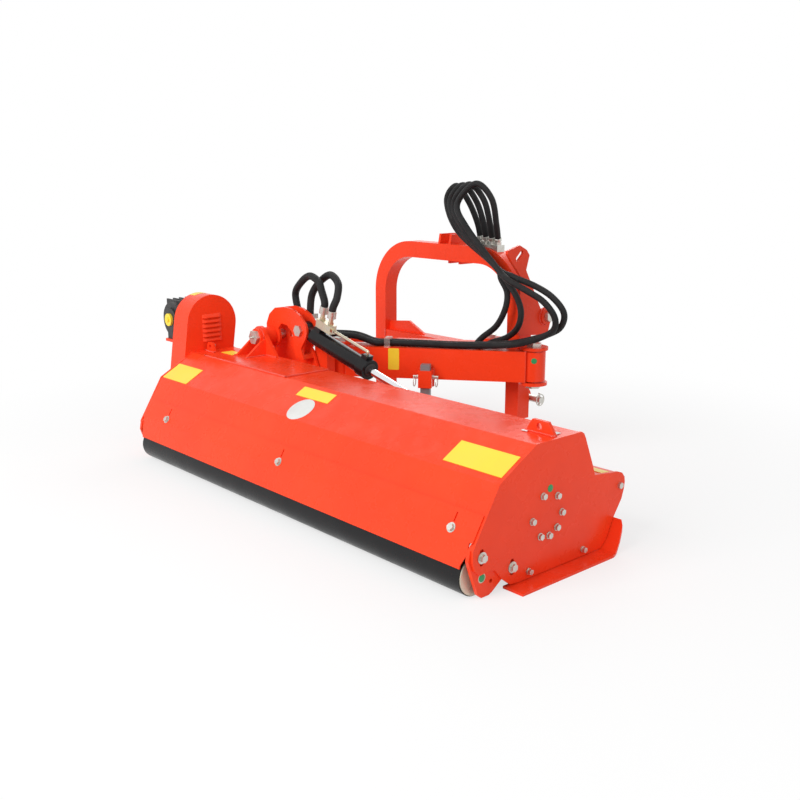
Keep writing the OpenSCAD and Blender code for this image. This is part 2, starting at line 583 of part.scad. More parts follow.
// Headstock
module arch_shape(t, z0) {
    ri = arch_ri + arch_t/2 - t/2;
    ro = ri + t;
    rc = arch_ri + arch_t;
    d = (arch_t - t)/2;
    for (s = [-1, 1]) {
        x = s > 0 ? head_r - arch_t + d : head_l + d;
        box(x, x + t, head_y - t/2, head_y + t/2, z0, arch_z - rc);
        translate([s > 0 ? head_r - rc : head_l + rc, head_y, arch_z - rc]) rotate([90, 0, 0])
            rotate([0, 0, s > 0 ? 0 : 90]) rotate_extrude(angle = 90) translate([ri, -t/2]) square(t);
    }
    box(head_l + rc, head_r - rc, head_y - t/2, head_y + t/2, arch_z - d - t, arch_z - d);
}
module arch() color("orangered") place() difference() {
    arch_shape(arch_t, 150);
    arch_shape(arch_t - 12, 149);
}
module base_tube() color("orangered") place() difference() {
    union() {
        box(head_l + arch_t, head_r - arch_t, head_y - arch_t/2, head_y + arch_t/2, 340, 430);
        cz(24, 430, 435.4, link_p[0], link_p[1]);
    }
    box(head_l + arch_t - 1, link_p[0] - 40, head_y - arch_t/2 + 6, head_y + arch_t/2 - 6, 346, 424);
    cz(14, 330, 440, link_p[0], link_p[1]);
}
module head_lugs() color("orangered") place() difference() {
    union() {
        for (z = [arm_z - 15, arm_top + 3]) {
            cz(56, z, z + 12, arm_p[0], arm_p[1]);
            pz([[head_r, head_y - 60], [arm_p[0], arm_p[1] - 56], [arm_p[0], arm_p[1] + 56],
                [head_r, head_y + 35]], z, z + 12);
        }
        // Upper lug of the parallel link on its web
        cz(40, 460, 472, link_p[0], link_p[1]);
        box(link_p[0] - 40, link_p[0] + 40, link_p[1], head_y + 35, 460, 472);
        box(link_p[0] - 40, link_p[0] + 40, head_y + 25, head_y + 35, 430, 460);
        // Lugs of the swing cylinder on the back of the base tube
        for (z = [sw_z - 30, sw_z + 18]) {
            cz(30, z, z + 12, sw_s[0], sw_s[1]);
            box(sw_s[0] - 30, sw_s[0] + 30, sw_s[1], head_y - arch_t/2, z, z + 12);
        }
        // Corner plates where the legs meet the base tube
        py([[head_l + arch_t, 430], [head_l + arch_t + 240, 430], [head_l + arch_t + 130, 482], [head_l + arch_t, 468]],
            head_y - 6, head_y + 6);
        py([[head_r - arch_t, 430], [head_r - arch_t - 70, 430], [head_r - arch_t, 520]], head_y + 8, head_y + 20);
    }
    cz(20, 300, 500, arm_p[0], arm_p[1]);
    cz(14, 455, 500, link_p[0], link_p[1]);
    cz(13, 300, 500, sw_s[0], sw_s[1]);
}
module head_pins() color("silver") place() {
    king_nuts(20, 30, arm_p, arm_z - 29, arm_top + 29);
    king_nuts(14, 22, link_p, 326, 486);
    king_nuts(13, 20, sw_s, sw_z - 44, sw_z + 44);
    cx(14, head_r, head_r + 30, head_y + 105, 572);
    hex_x(22, head_r + 26, head_r + 44, head_y + 105, 572);
}
module lower_pins() color("silver") place() for (s = [-1, 1])
    translate([head_x + s*hitch/2, low_y, low_z]) rotate([0, s*90, 0]) {
    // Free stud beyond its shoulder, shank through the hanger, nut inside
    cylinder(r = lower_pin_r, h = 85);
    translate([0, 0, -6]) cylinder(r = 24, h = 6);
    translate([0, 0, -36]) cylinder(r = 16, h = 30);
    translate([0, 0, -52]) cylinder(r = 25, h = 16, $fn = 6);
}
module hitch_plates() color("orangered") place() for (s = [-1, 1]) {
    top_link_plate(s);
    link_hanger(s);
}
module link_hanger(s) difference() {
    // Rounded lug on the back of a leg
    x = head_x + s*hitch/2;
    x0 = min(x - s*6, x - s*36);
    union() {
        box(x0, x0 + 30, head_y + arch_t/2, low_y, low_z - 38, low_z + 38);
        cx(38, x0, x0 + 30, low_y, low_z);
    }
    box(x0 - 1, x0 + 31, head_y - arch_t/2, head_y + arch_t/2, low_z - 50, low_z + 50);
    cx(16, x - 60, x + 60, low_y, low_z);
}
module top_link_plate(s) difference() {
    px([[head_y + arch_t/2, arch_z - 90], [head_y + arch_t/2 + 80, arch_z - 90], [head_y + arch_t/2 + 85, arch_z + 10],
        [head_y + arch_t/2 + 30, arch_z + 42], [head_y - 20, arch_z + 42], [head_y - 28, arch_z],
        [head_y + arch_t/2, arch_z]], head_x + s*32 - 6, head_x + s*32 + 6);
    cx(top_bore_r, head_x - 60, head_x + 60, head_y + 82, low_z + mast_h);
}
module side_ear() color("firebrick") place() translate([0, head_y - 900, 0]) difference() {
    union() {
        px([[842, 508], [1026, 493], [1046, 560], [1030, 600], [980, 600], [880, 770], [898, 828],
            [880, 850], [838, 870], [770, 852], [768, 838], [790, 810], [850, 745]], head_r, head_r + 12);
        cx(34, head_r, head_r + 26, 1005, 572);
    }
    band_x([826, 817], 9, [851, 840], 9, head_r - 1, head_r + 14);
    cx(14, head_r - 1, head_r + 30, 1005, 572);
}
module couplers() color("silver") place() for (i = [0:3]) {
    // Foot that follows the bend of the arch
    difference() {
        box(head_r - 277.5 + 33*i, head_r - 244.5 + 33*i, head_y - 22, head_y + 22, arch_z - 24, arch_z + 10);
        arch_shape(arch_t, 150);
    }
    hex_z(15, arch_z + 10, arch_z + 22, head_r - 261 + 33*i, head_y);
    cz(10, arch_z + 22, arch_z + 28, head_r - 261 + 33*i, head_y);
}
module hose_tie() color("red") place() {
    // Slanting bar round the four hoses on the front of the arch
    difference() {
        translate([tie_pt(0)[0], tie_pt(0)[1], arch_z - 91]) rotate([0, 0, atan2(-27, 29)]) box(-40, 118, -8, 8, 14, 32);
        box(head_r - 300, head_r, head_y - arch_t/2, head_y, arch_z - 95, arch_z);
        for (i = [0:3]) translate(tie_pt(i)) rotate([0, 122, 0]) cylinder(r = hose_d/2, h = 80, center = true);
    }
}
// Hoses, swept along round points with a spline between them
function spl(a, b, c, d, t) = 0.5*(2*b + (c - a)*t + (2*a - 5*b + 4*c - d)*t*t + (3*b - a - 3*c + d)*t*t*t);
function at(p, i) = p[max(0, min(len(p) - 1, i))];
function fine(p, n) = concat([for (i = [0:len(p) - 2], k = [0:n - 1])
    spl(at(p, i - 1), p[i], p[i + 1], at(p, i + 2), k/n)], [p[len(p) - 1]]);
function tang(p, i) = unit(at(p, i + 1) - at(p, i - 1));
function ring(p, i, v, r, n) = let (t = tang(p, i), s = unit(cross(t, v)), w = cross(s, t))
    [for (k = [0:n - 1]) p[i] + r*cos(360*k/n)*s + r*sin(360*k/n)*w];
module hose(route, v, sub, d = hose_d) {
    n = 8;
    p = fine(route, sub);
    m = len(p);
    pts = [for (i = [0:m - 1]) each ring(p, i, v, d/2, n)];
    walls = [for (i = [0:m - 2], k = [0:n - 1]) [i*n + k, i*n + (k + 1)%n, (i + 1)*n + (k + 1)%n, (i + 1)*n + k]];
    polyhedron(pts, concat(walls, [[for (k = [n - 1:-1:0]) k]], [[for (k = [0:n - 1]) (m - 1)*n + k]]));
}
function tie_pt(i) = [head_r - 129 + 29*i, head_y - 52 - 27*i, arch_z - 68];
function loop_up(i) = [[head_r - 261 + 33*i, head_y, arch_z + 28], [head_r - 277 + 45*i, head_y - 4 - 10*i, arch_z + 95],
    [head_r - 321 + 62*i, head_y - 14 - 20*i, arch_z + 182 + 6*i],
    [head_r - 380 + 63*i, head_y - 28 - 27*i, arch_z + 246 + 4*i],
    [head_r - 427 + 48*i, head_y - 38 - 27*i, arch_z + 181 - 2*i],
    [head_r - 343 + 42*i, head_y - 50 - 27*i, arch_z + 58 + 9*i], tie_pt(i)];
function arm_pt(s, d, z) = [on_arm(s, d)[0], on_arm(s, d)[1], z];
function on_top(s, d) = arm_pt(s, d, arm_top + 14.5);
tilt_a_pts = concat(loop_up(2), [[95, 785, 752], [200, 800, 722], [279, 812, 684], [322, 830, 625],
    [290, 845, 562], [222, 834, 526]]);
tilt_b_pts = concat(loop_up(3), [[100, 757, 740], [190, 765, 705], [260, 782, 668], [300, 802, 610],
    [285, 812, 556], [226, 797, 520]]);
port_a = sw_s + 60*sw_v/sw_n;
port_b = sw_s + 104*sw_v/sw_n;
swing_a_pts = concat(loop_up(0), [[-12, 838, 728], [36, 822, 679], [38, 810, 614], [2, 800, 543],
    [-60, 785, 490], [port_b[0], port_b[1], 455], [port_b[0], port_b[1], sw_z + 35.5]]);
swing_b_pts = concat(loop_up(1), [[50, 815, 716], [110, 803, 662], [136, 795, 606], [118, 795, 548],
    [50, 808, 500], [-30, 806, 470], [port_a[0], port_a[1], 446], [port_a[0], port_a[1], sw_z + 35.5]]);
arm_a_pts = [arm_pt(-30, -46, 522), arm_pt(70, -34, 494), arm_pt(180, -8, 479), on_top(300, -4),
    on_top(440, 4), on_top(560, 13), on_top(604, 13), on_top(650, 21), [-478, 455, 489], [-590, 385, 491],
    [clip_x[0], 312, 508], [clip_x[0], 278, 557]];
arm_b_pts = [arm_pt(-10, -78, 516), arm_pt(80, -62, 490), arm_pt(190, -36, 478), on_top(300, -31),
    on_top(440, -22), on_top(560, -13), on_top(604, -13), on_top(645, -19), [-430, 420, 489], [-520, 382, 491],
    [clip_x[1], 312, 508], [clip_x[1], 278, 557]];
function valve_top(x) = [cyl_j[0] + x*cos(cyl_a) - (barrel_r + 76)*sin(cyl_a), cyl_y,
    cyl_j[1] + x*sin(cyl_a) + (barrel_r + 76)*cos(cyl_a)];
valve_lead = 42*[-sin(cyl_a), 0, cos(cyl_a)];
loop_a_pts = [[clip_x[0], 278, 584], [-654, 277, 656], [-605, 270, 707], [-533, 262, 741], [-459, 250, 725], [-419, 236, 690],
    valve_top(98) + valve_lead, valve_top(98)];
loop_b_pts = [[clip_x[1], 278, 584], [-550, 284, 660], [-509, 292, 714], [-429, 286, 752], [-356, 268, 726], [-332, 244, 676],
    valve_top(152) + valve_lead, valve_top(152)];
module hose_tilt_a() color("black") place() hose(tilt_a_pts, [0.2, 1, 0.15], 2);
module hose_tilt_b() color("black") place() hose(tilt_b_pts, [0.2, 1, 0.15], 2);
module hose_swing_a() color("black") place() hose(swing_a_pts, [0.2, 1, 0.15], 2);
module hose_swing_b() color("black") place() hose(swing_b_pts, [0.2, 1, 0.15], 2);
module hose_arm_a() color("black") place() hose(arm_a_pts, [0.6, -0.7, 0.3], 2);
module hose_arm_b() color("black") place() hose(arm_b_pts, [0.6, -0.7, 0.3], 2);
module hose_loop_a() color("black") place() hose(loop_a_pts, [0.1, 1, 0.1], 2, loop_d);
module hose_loop_b() color("black") place() hose(loop_b_pts, [0.1, 1, 0.1], 2, loop_d);

// Which piece is drawn

hood();
side_plate_right();
side_plate_left();
rear_flap();
skids();
deck_bolts();
roller_brackets();
roller();
roller_ends();
bearing_housings();
guard_rod();
front_guards();
decal_plates();
rotor();
flail_pins();
flail_row_a();
flail_row_b();
flail_row_c();
flail_row_d();
rotor_pulley();
drive_belts();
drive_pulley();
pto_shaft();
gearbox();
gearbox_cap();
belt_cover();
tilt_bracket();
deck_pins();
hump_plates();
carrier();
carrier_pins();
hose_clip();
tilt_barrel();
tilt_rod();
tilt_valve();
arm();
arm_fittings();
stand_sleeve();
parking_leg();
parallel_link();
swing_barrel();
swing_rod();
arch();
base_tube();
head_lugs();
head_pins();
hitch_plates();
lower_pins();
side_ear();
couplers();
hose_tie();
hose_tilt_a();
hose_tilt_b();
hose_swing_a();
hose_swing_b();
hose_arm_a();
hose_arm_b();
hose_loop_a();
hose_loop_b();
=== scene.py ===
import json
import math
import bmesh
import bpy
from mathutils import Matrix, Vector


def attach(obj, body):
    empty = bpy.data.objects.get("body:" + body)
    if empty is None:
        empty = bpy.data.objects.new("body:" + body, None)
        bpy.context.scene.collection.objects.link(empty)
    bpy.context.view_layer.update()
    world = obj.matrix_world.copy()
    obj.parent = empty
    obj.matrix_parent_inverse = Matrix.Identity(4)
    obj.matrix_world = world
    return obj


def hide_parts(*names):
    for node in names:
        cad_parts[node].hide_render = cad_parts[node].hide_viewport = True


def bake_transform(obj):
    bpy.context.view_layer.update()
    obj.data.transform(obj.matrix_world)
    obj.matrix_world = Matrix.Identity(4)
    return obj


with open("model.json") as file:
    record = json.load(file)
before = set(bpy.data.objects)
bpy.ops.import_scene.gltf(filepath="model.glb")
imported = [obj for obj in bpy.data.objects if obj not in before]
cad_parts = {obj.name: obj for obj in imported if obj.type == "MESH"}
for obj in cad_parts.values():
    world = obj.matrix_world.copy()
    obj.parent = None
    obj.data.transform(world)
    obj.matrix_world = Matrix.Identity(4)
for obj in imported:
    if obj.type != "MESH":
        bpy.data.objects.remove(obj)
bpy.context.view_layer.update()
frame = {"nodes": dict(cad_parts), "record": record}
scene = bpy.context.scene

# The deck frame of the drawings: millimetres, zero on the rotor axis and on the ground
SHIFT = Vector((104.0, -357.5, 0.0))
HALF = 950.0   # half the length over the side plates
TOP_Z = 410.0  # top of the hood


def spot(x, y, z):
    """A point of the deck frame, in metres in the row frame."""
    return (Vector((x, y, z)) + SHIFT) / 1000.0


def mm(value):
    return value / 1000.0


# Camera at the photograph's place
LENS, SENSOR = 44.01, 36.0
CAMERA_PLACE = (2.774, -2.4725, 1.173)
VIEW_DIRECTION = Vector((-0.7245, 0.6489, -0.2323))
camera_data = bpy.data.cameras.new("camera")
camera_data.lens = LENS
camera_data.sensor_width = SENSOR
camera_data.clip_end = 60.0
camera = bpy.data.objects.new("camera", camera_data)
scene.collection.objects.link(camera)
camera.location = CAMERA_PLACE
camera.rotation_euler = VIEW_DIRECTION.to_track_quat("-Z", "Y").to_euler()
scene.camera = camera


# Shader nodes shared by the finishes
def feed(tree, source, socket):
    """Links a node's output to a socket, or writes a plain value into it."""
    if isinstance(source, bpy.types.NodeSocket):
        tree.links.new(source, socket)
    else:
        socket.default_value = source


def math_node(tree, operation, first, second, clamp=False):
    node = tree.nodes.new("ShaderNodeMath")
    node.operation = operation
    node.use_clamp = clamp
    feed(tree, first, node.inputs[0])
    feed(tree, second, node.inputs[1])
    return node.outputs[0]


def noise(tree, coords, scale, detail, rough=0.55):
    node = tree.nodes.new("ShaderNodeTexNoise")
    values = {"Vector": coords, "Scale": scale, "Detail": detail, "Roughness": rough}
    for label, value in values.items():
        feed(tree, value, node.inputs[label])
    return node.outputs["Fac"]


def ramp(tree, value, low, high, out_low, out_high):
    node = tree.nodes.new("ShaderNodeMapRange")
    node.interpolation_type = "SMOOTHSTEP"
    labels = ("Value", "From Min", "From Max", "To Min", "To Max")
    for label, number in zip(labels, (value, low, high, out_low, out_high)):
        feed(tree, number, node.inputs[label])
    return node.outputs["Result"]


# Places of the colour sockets on Blender's Mix node
MIX_FIRST, MIX_SECOND, MIX_RESULT = 6, 7, 2


def mix_colour(tree, factor, first, second):
    node = tree.nodes.new("ShaderNodeMix")
    node.data_type = "RGBA"
    feed(tree, factor, node.inputs["Factor"])
    feed(tree, first, node.inputs[MIX_FIRST])
    feed(tree, second, node.inputs[MIX_SECOND])
    return node.outputs[MIX_RESULT]


DUST_COLOUR = (0.62, 0.55, 0.47, 1.0)
FLECK_RIM = 0.08  # width of a fleck's soft edge
COAT_INPUTS = [
    ("Base", "NodeSocketColor"),
    ("Shade", "NodeSocketColor"),
    ("Fleck", "NodeSocketColor"),
    ("Tone scale", "NodeSocketFloat"),
    ("Tone amount", "NodeSocketFloat"),
    ("Fleck scale", "NodeSocketFloat"),
    ("Fleck edge", "NodeSocketFloat"),
    ("Dust", "NodeSocketFloat"),
    ("Rough low", "NodeSocketFloat"),
    ("Rough high", "NodeSocketFloat"),
    ("Grain scale", "NodeSocketFloat"),
]


def make_coat_group():
    """Worn surface: slow tone changes, flecks, dust on upper faces, roughness and a height."""
    tree = bpy.data.node_groups.new("worn_coat", "ShaderNodeTree")
    for label, kind in COAT_INPUTS:
        tree.interface.new_socket(label, in_out="INPUT", socket_type=kind)
    for label, kind in (("Colour", "Color"), ("Roughness", "Float"), ("Height", "Float")):
        tree.interface.new_socket(label, in_out="OUTPUT", socket_type="NodeSocket" + kind)
    pick = tree.nodes.new("NodeGroupInput").outputs
    sink = tree.nodes.new("NodeGroupOutput")
    coords = tree.nodes.new("ShaderNodeTexCoord").outputs["Object"]

    tone_noise = noise(tree, coords, pick["Tone scale"], 5.0)
    tone = ramp(tree, tone_noise, 0.35, 0.75, 0.0, pick["Tone amount"])
    colour = mix_colour(tree, tone, pick["Base"], pick["Shade"])

    fleck_noise = noise(tree, coords, pick["Fleck scale"], 3.0)
    fleck_full = math_node(tree, "ADD", pick["Fleck edge"], FLECK_RIM)
    fleck = ramp(tree, fleck_noise, pick["Fleck edge"], fleck_full, 0.0, 1.0)
    colour = mix_colour(tree, fleck, colour, pick["Fleck"])

    split = tree.nodes.new("ShaderNodeSeparateXYZ")
    facing = tree.nodes.new("ShaderNodeNewGeometry")
    tree.links.new(facing.outputs["Normal"], split.inputs[0])
    upward = ramp(tree, split.outputs["Z"], 0.35, 1.0, 0.0, pick["Dust"])
    cloud = ramp(tree, noise(tree, coords, 14.0, 6.0, 0.65), 0.42, 0.72, 0.0, 1.0)
    dust = math_node(tree, "MULTIPLY", upward, cloud)
    colour = mix_colour(tree, dust, colour, DUST_COLOUR)

    smear_noise = noise(tree, coords, 9.0, 6.0, 0.6)
    smear = ramp(tree, smear_noise, 0.3, 0.7, pick["Rough low"], pick["Rough high"])
    grain = noise(tree, coords, pick["Grain scale"], 2.0, 0.5)
    for label, value in (("Colour", colour), ("Roughness", smear), ("Height", grain)):
        tree.links.new(value, sink.inputs[label])
    return tree


COAT = make_coat_group()
BUMP_DISTANCE = 0.002
COAT_ROUGHNESS = 0.08


def finish(name, base, shade, fleck, rough, tone, flecks, dust, grain,
           metallic=0.0, coat=0.0, specular=0.5):
    """A material of three colours; tone, flecks and grain each give a scale and a strength."""
    material = bpy.data.materials.new(name)
    material.use_nodes = True
    tree = material.node_tree
    surface = tree.nodes.new("ShaderNodeGroup")
    surface.node_tree = COAT
    colours = [(*colour, 1.0) for colour in (base, shade, fleck)]
    values = (*colours, *tone, *flecks, dust, *rough, grain[0])
    for (label, _), value in zip(COAT_INPUTS, values):
        surface.inputs[label].default_value = value
    bump = tree.nodes.new("ShaderNodeBump")
    bump.inputs["Strength"].default_value = grain[1]
    bump.inputs["Distance"].default_value = BUMP_DISTANCE
    tree.links.new(surface.outputs["Height"], bump.inputs["Height"])
    shader = tree.nodes["Principled BSDF"]
    for label, value in (
        ("Normal", bump.outputs["Normal"]),
        ("Base Color", surface.outputs["Colour"]),
        ("Roughness", surface.outputs["Roughness"]),
        ("Metallic", metallic),
        ("Coat Weight", coat),
        ("Coat Roughness", COAT_ROUGHNESS),
        ("Specular IOR Level", specular),
    ):
        feed(tree, value, shader.inputs[label])
    return material


# Finishes, one for each slot of the record
FINISHES = {
    "paint": finish(
        "red_gloss_paint", (0.98, 0.061, 0.015), (0.70, 0.036, 0.012), (0.95, 0.13, 0.06),
        rough=(0.20, 0.34), tone=(2.4, 0.35), flecks=(420.0, 0.80), dust=0.04, grain=(520.0, 0.05),
        coat=0.03, specular=0.18),
    "dark_paint": finish(
        "red_ear_paint", (0.80, 0.052, 0.017), (0.62, 0.034, 0.012), (0.90, 0.12, 0.06),
        rough=(0.24, 0.38), tone=(4.0, 0.35), flecks=(420.0, 0.80), dust=0.04, grain=(520.0, 0.05),
        coat=0.03, specular=0.18),
    "zinc": finish(
        "zinc_plated_steel", (0.62, 0.61, 0.57), (0.45, 0.43, 0.36), (0.80, 0.79, 0.74),
        rough=(0.26, 0.46), tone=(60.0, 0.5), flecks=(380.0, 0.62), dust=0.02, grain=(700.0, 0.06),
        metallic=0.95),
    "steel": finish(
        "flail_steel", (0.33, 0.32, 0.31), (0.16, 0.11, 0.08), (0.50, 0.48, 0.45),
        rough=(0.34, 0.62), tone=(30.0, 0.6), flecks=(220.0, 0.66), dust=0.05, grain=(260.0, 0.15),
        metallic=0.85),
    "cast": finish(
        "black_casting", (0.022, 0.022, 0.024), (0.040, 0.038, 0.036), (0.075, 0.072, 0.068),
        rough=(0.40, 0.58), tone=(16.0, 0.5), flecks=(240.0, 0.68), dust=0.06, grain=(190.0, 0.40)),
    "black_paint": finish(
        "black_gloss_paint", (0.006, 0.006, 0.007), (0.013, 0.013, 0.013), (0.035, 0.034, 0.032),
        rough=(0.22, 0.38), tone=(6.0, 0.5), flecks=(300.0, 0.78), dust=0.02, grain=(420.0, 0.05),
        coat=0.05, specular=0.22),
    "chrome": finish(
        "chromed_rod", (0.82, 0.83, 0.85), (0.70, 0.71, 0.73), (0.90, 0.91, 0.92),
        rough=(0.07, 0.15), tone=(40.0, 0.4), flecks=(500.0, 0.74), dust=0.0, grain=(900.0, 0.01),
        metallic=1.0),
    "grey_paint": finish(
        "grey_leg_paint", (0.24, 0.25, 0.26), (0.17, 0.175, 0.18), (0.36, 0.36, 0.35),
        rough=(0.38, 0.55), tone=(9.0, 0.4), flecks=(260.0, 0.72), dust=0.06, grain=(340.0, 0.10),
        metallic=0.2),
    "yellow": finish(
        "yellow_film", (0.93, 0.70, 0.045), (0.85, 0.60, 0.030), (0.97, 0.78, 0.10),
        rough=(0.28, 0.42), tone=(7.0, 0.35), flecks=(520.0, 0.80), dust=0.03, grain=(640.0, 0.02)),
    "belt": finish(
        "belt_rubber", (0.018, 0.018, 0.018), (0.035, 0.034, 0.032), (0.06, 0.058, 0.055),
        rough=(0.60, 0.80), tone=(30.0, 0.5), flecks=(260.0, 0.70), dust=0.06, grain=(480.0, 0.2)),
    "brass": finish(
        "passivated_fitting", (0.60, 0.53, 0.38), (0.52, 0.50, 0.46), (0.72, 0.68, 0.56),
        rough=(0.22, 0.42), tone=(70.0, 0.7), flecks=(420.0, 0.66), dust=0.02, grain=(520.0, 0.05),
        metallic=0.95),
    "cream": finish(
        "cream_end_plate", (0.66, 0.60, 0.48), (0.52, 0.46, 0.36), (0.78, 0.73, 0.62),
        rough=(0.26, 0.44), tone=(10.0, 0.5), flecks=(300.0, 0.74), dust=0.06, grain=(360.0, 0.08),
        metallic=0.35),
    "red_plastic": finish(
        "red_tie_plastic", (0.62, 0.018, 0.014), (0.48, 0.012, 0.010), (0.75, 0.06, 0.05),
        rough=(0.42, 0.55), tone=(20.0, 0.4), flecks=(300.0, 0.76), dust=0.03, grain=(500.0, 0.06)),
    "guard": finish(
        "guard_rubber", (0.022, 0.022, 0.023), (0.045, 0.043, 0.040), (0.07, 0.067, 0.062),
        rough=(0.62, 0.80), tone=(11.0, 0.6), flecks=(220.0, 0.68), dust=0.10, grain=(260.0, 0.25)),
    "hose": finish(
        "sleeved_hose", (0.008, 0.008, 0.009), (0.016, 0.016, 0.015), (0.032, 0.031, 0.030),
        rough=(0.50, 0.70), tone=(24.0, 0.5), flecks=(420.0, 0.72), dust=0.02, grain=(500.0, 0.1),
        specular=0.28),
}
GREEN_DOT = finish(
    "green_dot", (0.015, 0.30, 0.10), (0.010, 0.22, 0.07), (0.06, 0.42, 0.18),
    rough=(0.35, 0.48), tone=(40.0, 0.4), flecks=(600.0, 0.78), dust=0.02, grain=(640.0, 0.03))
# Pale grey: the round plate's own colour, and also a painted reflection of the sky on the deck
# beside the right lifting eye
PALE_FILM_AND_REFLECTION = finish(
    "pale_film_and_painted_reflection", (0.72, 0.72, 0.70), (0.58, 0.58, 0.56), (0.84, 0.84, 0.82),
    rough=(0.30, 0.45), tone=(18.0, 0.35), flecks=(500.0, 0.78), dust=0.02, grain=(640.0, 0.03),
    metallic=0.1)
WELD = finish(
    "painted_weld", (0.82, 0.052, 0.017), (0.60, 0.034, 0.012), (0.92, 0.14, 0.07),
    rough=(0.26, 0.42), tone=(40.0, 0.5), flecks=(420.0, 0.74), dust=0.04, grain=(420.0, 0.20),
    coat=0.25)

WEAVE_SLANT = 0.7854
WEAVE_SCALE = 3.0
WEAVE_STRENGTH = 0.45
WEAVE_DISTANCE = 0.0008


def add_weave(material):
    """Two layers of slanted threads along the piece's own UV map, as the height of a finish."""
    tree = material.node_tree
    layers = []
    for slant in (WEAVE_SLANT, -WEAVE_SLANT):
        mapping = tree.nodes.new("ShaderNodeMapping")
        mapping.inputs["Rotation"].default_value = (0.0, 0.0, slant)
        wave = tree.nodes.new("ShaderNodeTexWave")
        wave.inputs["Scale"].default_value = WEAVE_SCALE
        uv_map = tree.nodes.new("ShaderNodeUVMap")
        tree.links.new(uv_map.outputs["UV"], mapping.inputs["Vector"])
        tree.links.new(mapping.outputs["Vector"], wave.inputs["Vector"])
        layers.append(wave.outputs["Fac"])
    bump = next(node for node in tree.nodes if node.bl_idname == "ShaderNodeBump")
    bump.inputs["Strength"].default_value = WEAVE_STRENGTH
    bump.inputs["Distance"].default_value = WEAVE_DISTANCE
    tree.links.new(math_node(tree, "MAXIMUM", *layers), bump.inputs["Height"])


add_weave(FINISHES["hose"])
for row in frame["record"]["subparts"]:
    mesh = frame["nodes"][row["node"]].data
    mesh.materials.clear()
    mesh.materials.append(FINISHES[row["material_slot"]])

# Helpers that make pieces
SHARP_ANGLE = math.radians(32)
MERGE_DISTANCE = 1e-6


def shade_smooth(mesh):
    for polygon in mesh.polygons:
        polygon.use_smooth = True


def settle(name, mesh, slot_name, body, material=None):
    """Puts a mesh into the scene as a piece that rides on a body."""
    shade_smooth(mesh)
    piece = bpy.data.objects.new(name, mesh)
    scene.collection.objects.link(piece)
    mesh.materials.clear()
    mesh.materials.append(material or FINISHES[slot_name])
    mesh.set_sharp_from_angle(angle=SHARP_ANGLE)
    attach(piece, body)
    return piece


def mesh_of(work, name):
    bmesh.ops.remove_doubles(work, verts=work.verts, dist=MERGE_DISTANCE)
    bmesh.ops.recalc_face_normals(work, faces=work.faces)
    mesh = bpy.data.meshes.new(name)
    work.to_mesh(mesh)
    work.free()
    return mesh


def turn_to(axis):
    return Vector((0, 0, 1)).rotation_difference(Vector(axis).normalized()).to_matrix().to_4x4()


def circle(sides):
    """Cosine and sine of evenly spread angles, once round."""
    angles = [2 * math.pi * k / sides for k in range(sides)]
    return [(math.cos(a), math.sin(a)) for a in angles]


def close_shell(work, rings):
    """Walls between rings of points, with a lid on the first and the last."""
    count = len(rings[0])
    for low, high in zip(rings, rings[1:]):
        for k in range(count):
            after = (k + 1) % count
            work.faces.new((low[k], low[after], high[after], high[k]))
    work.faces.new(list(reversed(rings[0])))
    work.faces.new(rings[-1])


def shell_piece(name, layers, slot_name, body, material=None):
    """A closed piece from rings of points of the deck frame."""
    work = bmesh.new()
    close_shell(work, [[work.verts.new(spot(*p)) for p in layer] for layer in layers])
    return settle(name, mesh_of(work, name), slot_name, body, material)


def add_lathe(work, profile, place, axis, sides):
    """A turned solid from radius and height pairs in millimetres, set at a place along an axis."""
    matrix = Matrix.Translation(place) @ turn_to(axis)
    rings = []
    for radius, height in profile:
        points = [(mm(radius) * c, mm(radius) * s, mm(height)) for c, s in circle(sides)]
        rings.append([work.verts.new(matrix @ Vector(p)) for p in points])
    close_shell(work, rings)


def turned_piece(name, profile, place, axis, sides, slot_name, body, material=None):
    work = bmesh.new()
    add_lathe(work, profile, place, axis, sides)
    return settle(name, mesh_of(work, name), slot_name, body, material)


def catmull(points, steps):
    """The same spline through the route's points that the drawings use."""
    last = len(points) - 1
    line = []
    for i in range(last):
        a, b, c, d = (points[max(0, min(last, i + k))] for k in (-1, 0, 1, 2))
        for k in range(steps):
            t = k / steps
            line.append(0.5 * (
                2 * b + (c - a) * t
                + (2 * a - 5 * b + 4 * c - d) * t * t
                + (3 * b - a - 3 * c + d) * t ** 3))
    line.append(points[last].copy())
    return line


UV_REPEATS = 8.0  # pattern repeats once round a tube


def tube_mesh(name, line, radius, sides):
    """A closed tube along a line with its own UV map, and the length of the line."""
    work = bmesh.new()
    uv_layer = work.loops.layers.uv.new("UVMap")
    side = (line[1] - line[0]).orthogonal().normalized()
    rings, along = [], [0.0]
    for i, point in enumerate(line):
        tangent = (line[min(i + 1, len(line) - 1)] - line[max(i - 1, 0)]).normalized()
        side = (side - tangent * side.dot(tangent)).normalized()
        other = tangent.cross(side)
        points = [point + radius * (c * side + s * other) for c, s in circle(sides)]
        rings.append([work.verts.new(p) for p in points])
        if i:
            along.append(along[-1] + (point - line[i - 1]).length)
    around = 2 * math.pi * radius
    for i, (low, high) in enumerate(zip(rings, rings[1:])):
        for k in range(sides):
            after = (k + 1) % sides
            face = work.faces.new((low[k], low[after], high[after], high[k]))
            corners = ((i, k), (i, k + 1), (i + 1, k + 1), (i + 1, k))
            for loop, (row, turn) in zip(face.loops, corners):
                loop[uv_layer].uv = (along[row] / around * UV_REPEATS, UV_REPEATS * turn / sides)
    work.faces.new(list(reversed(rings[0])))
    work.faces.new(rings[-1])
    mesh = bpy.data.meshes.new(name)
    work.to_mesh(mesh)
    work.free()
    return mesh, along[-1]


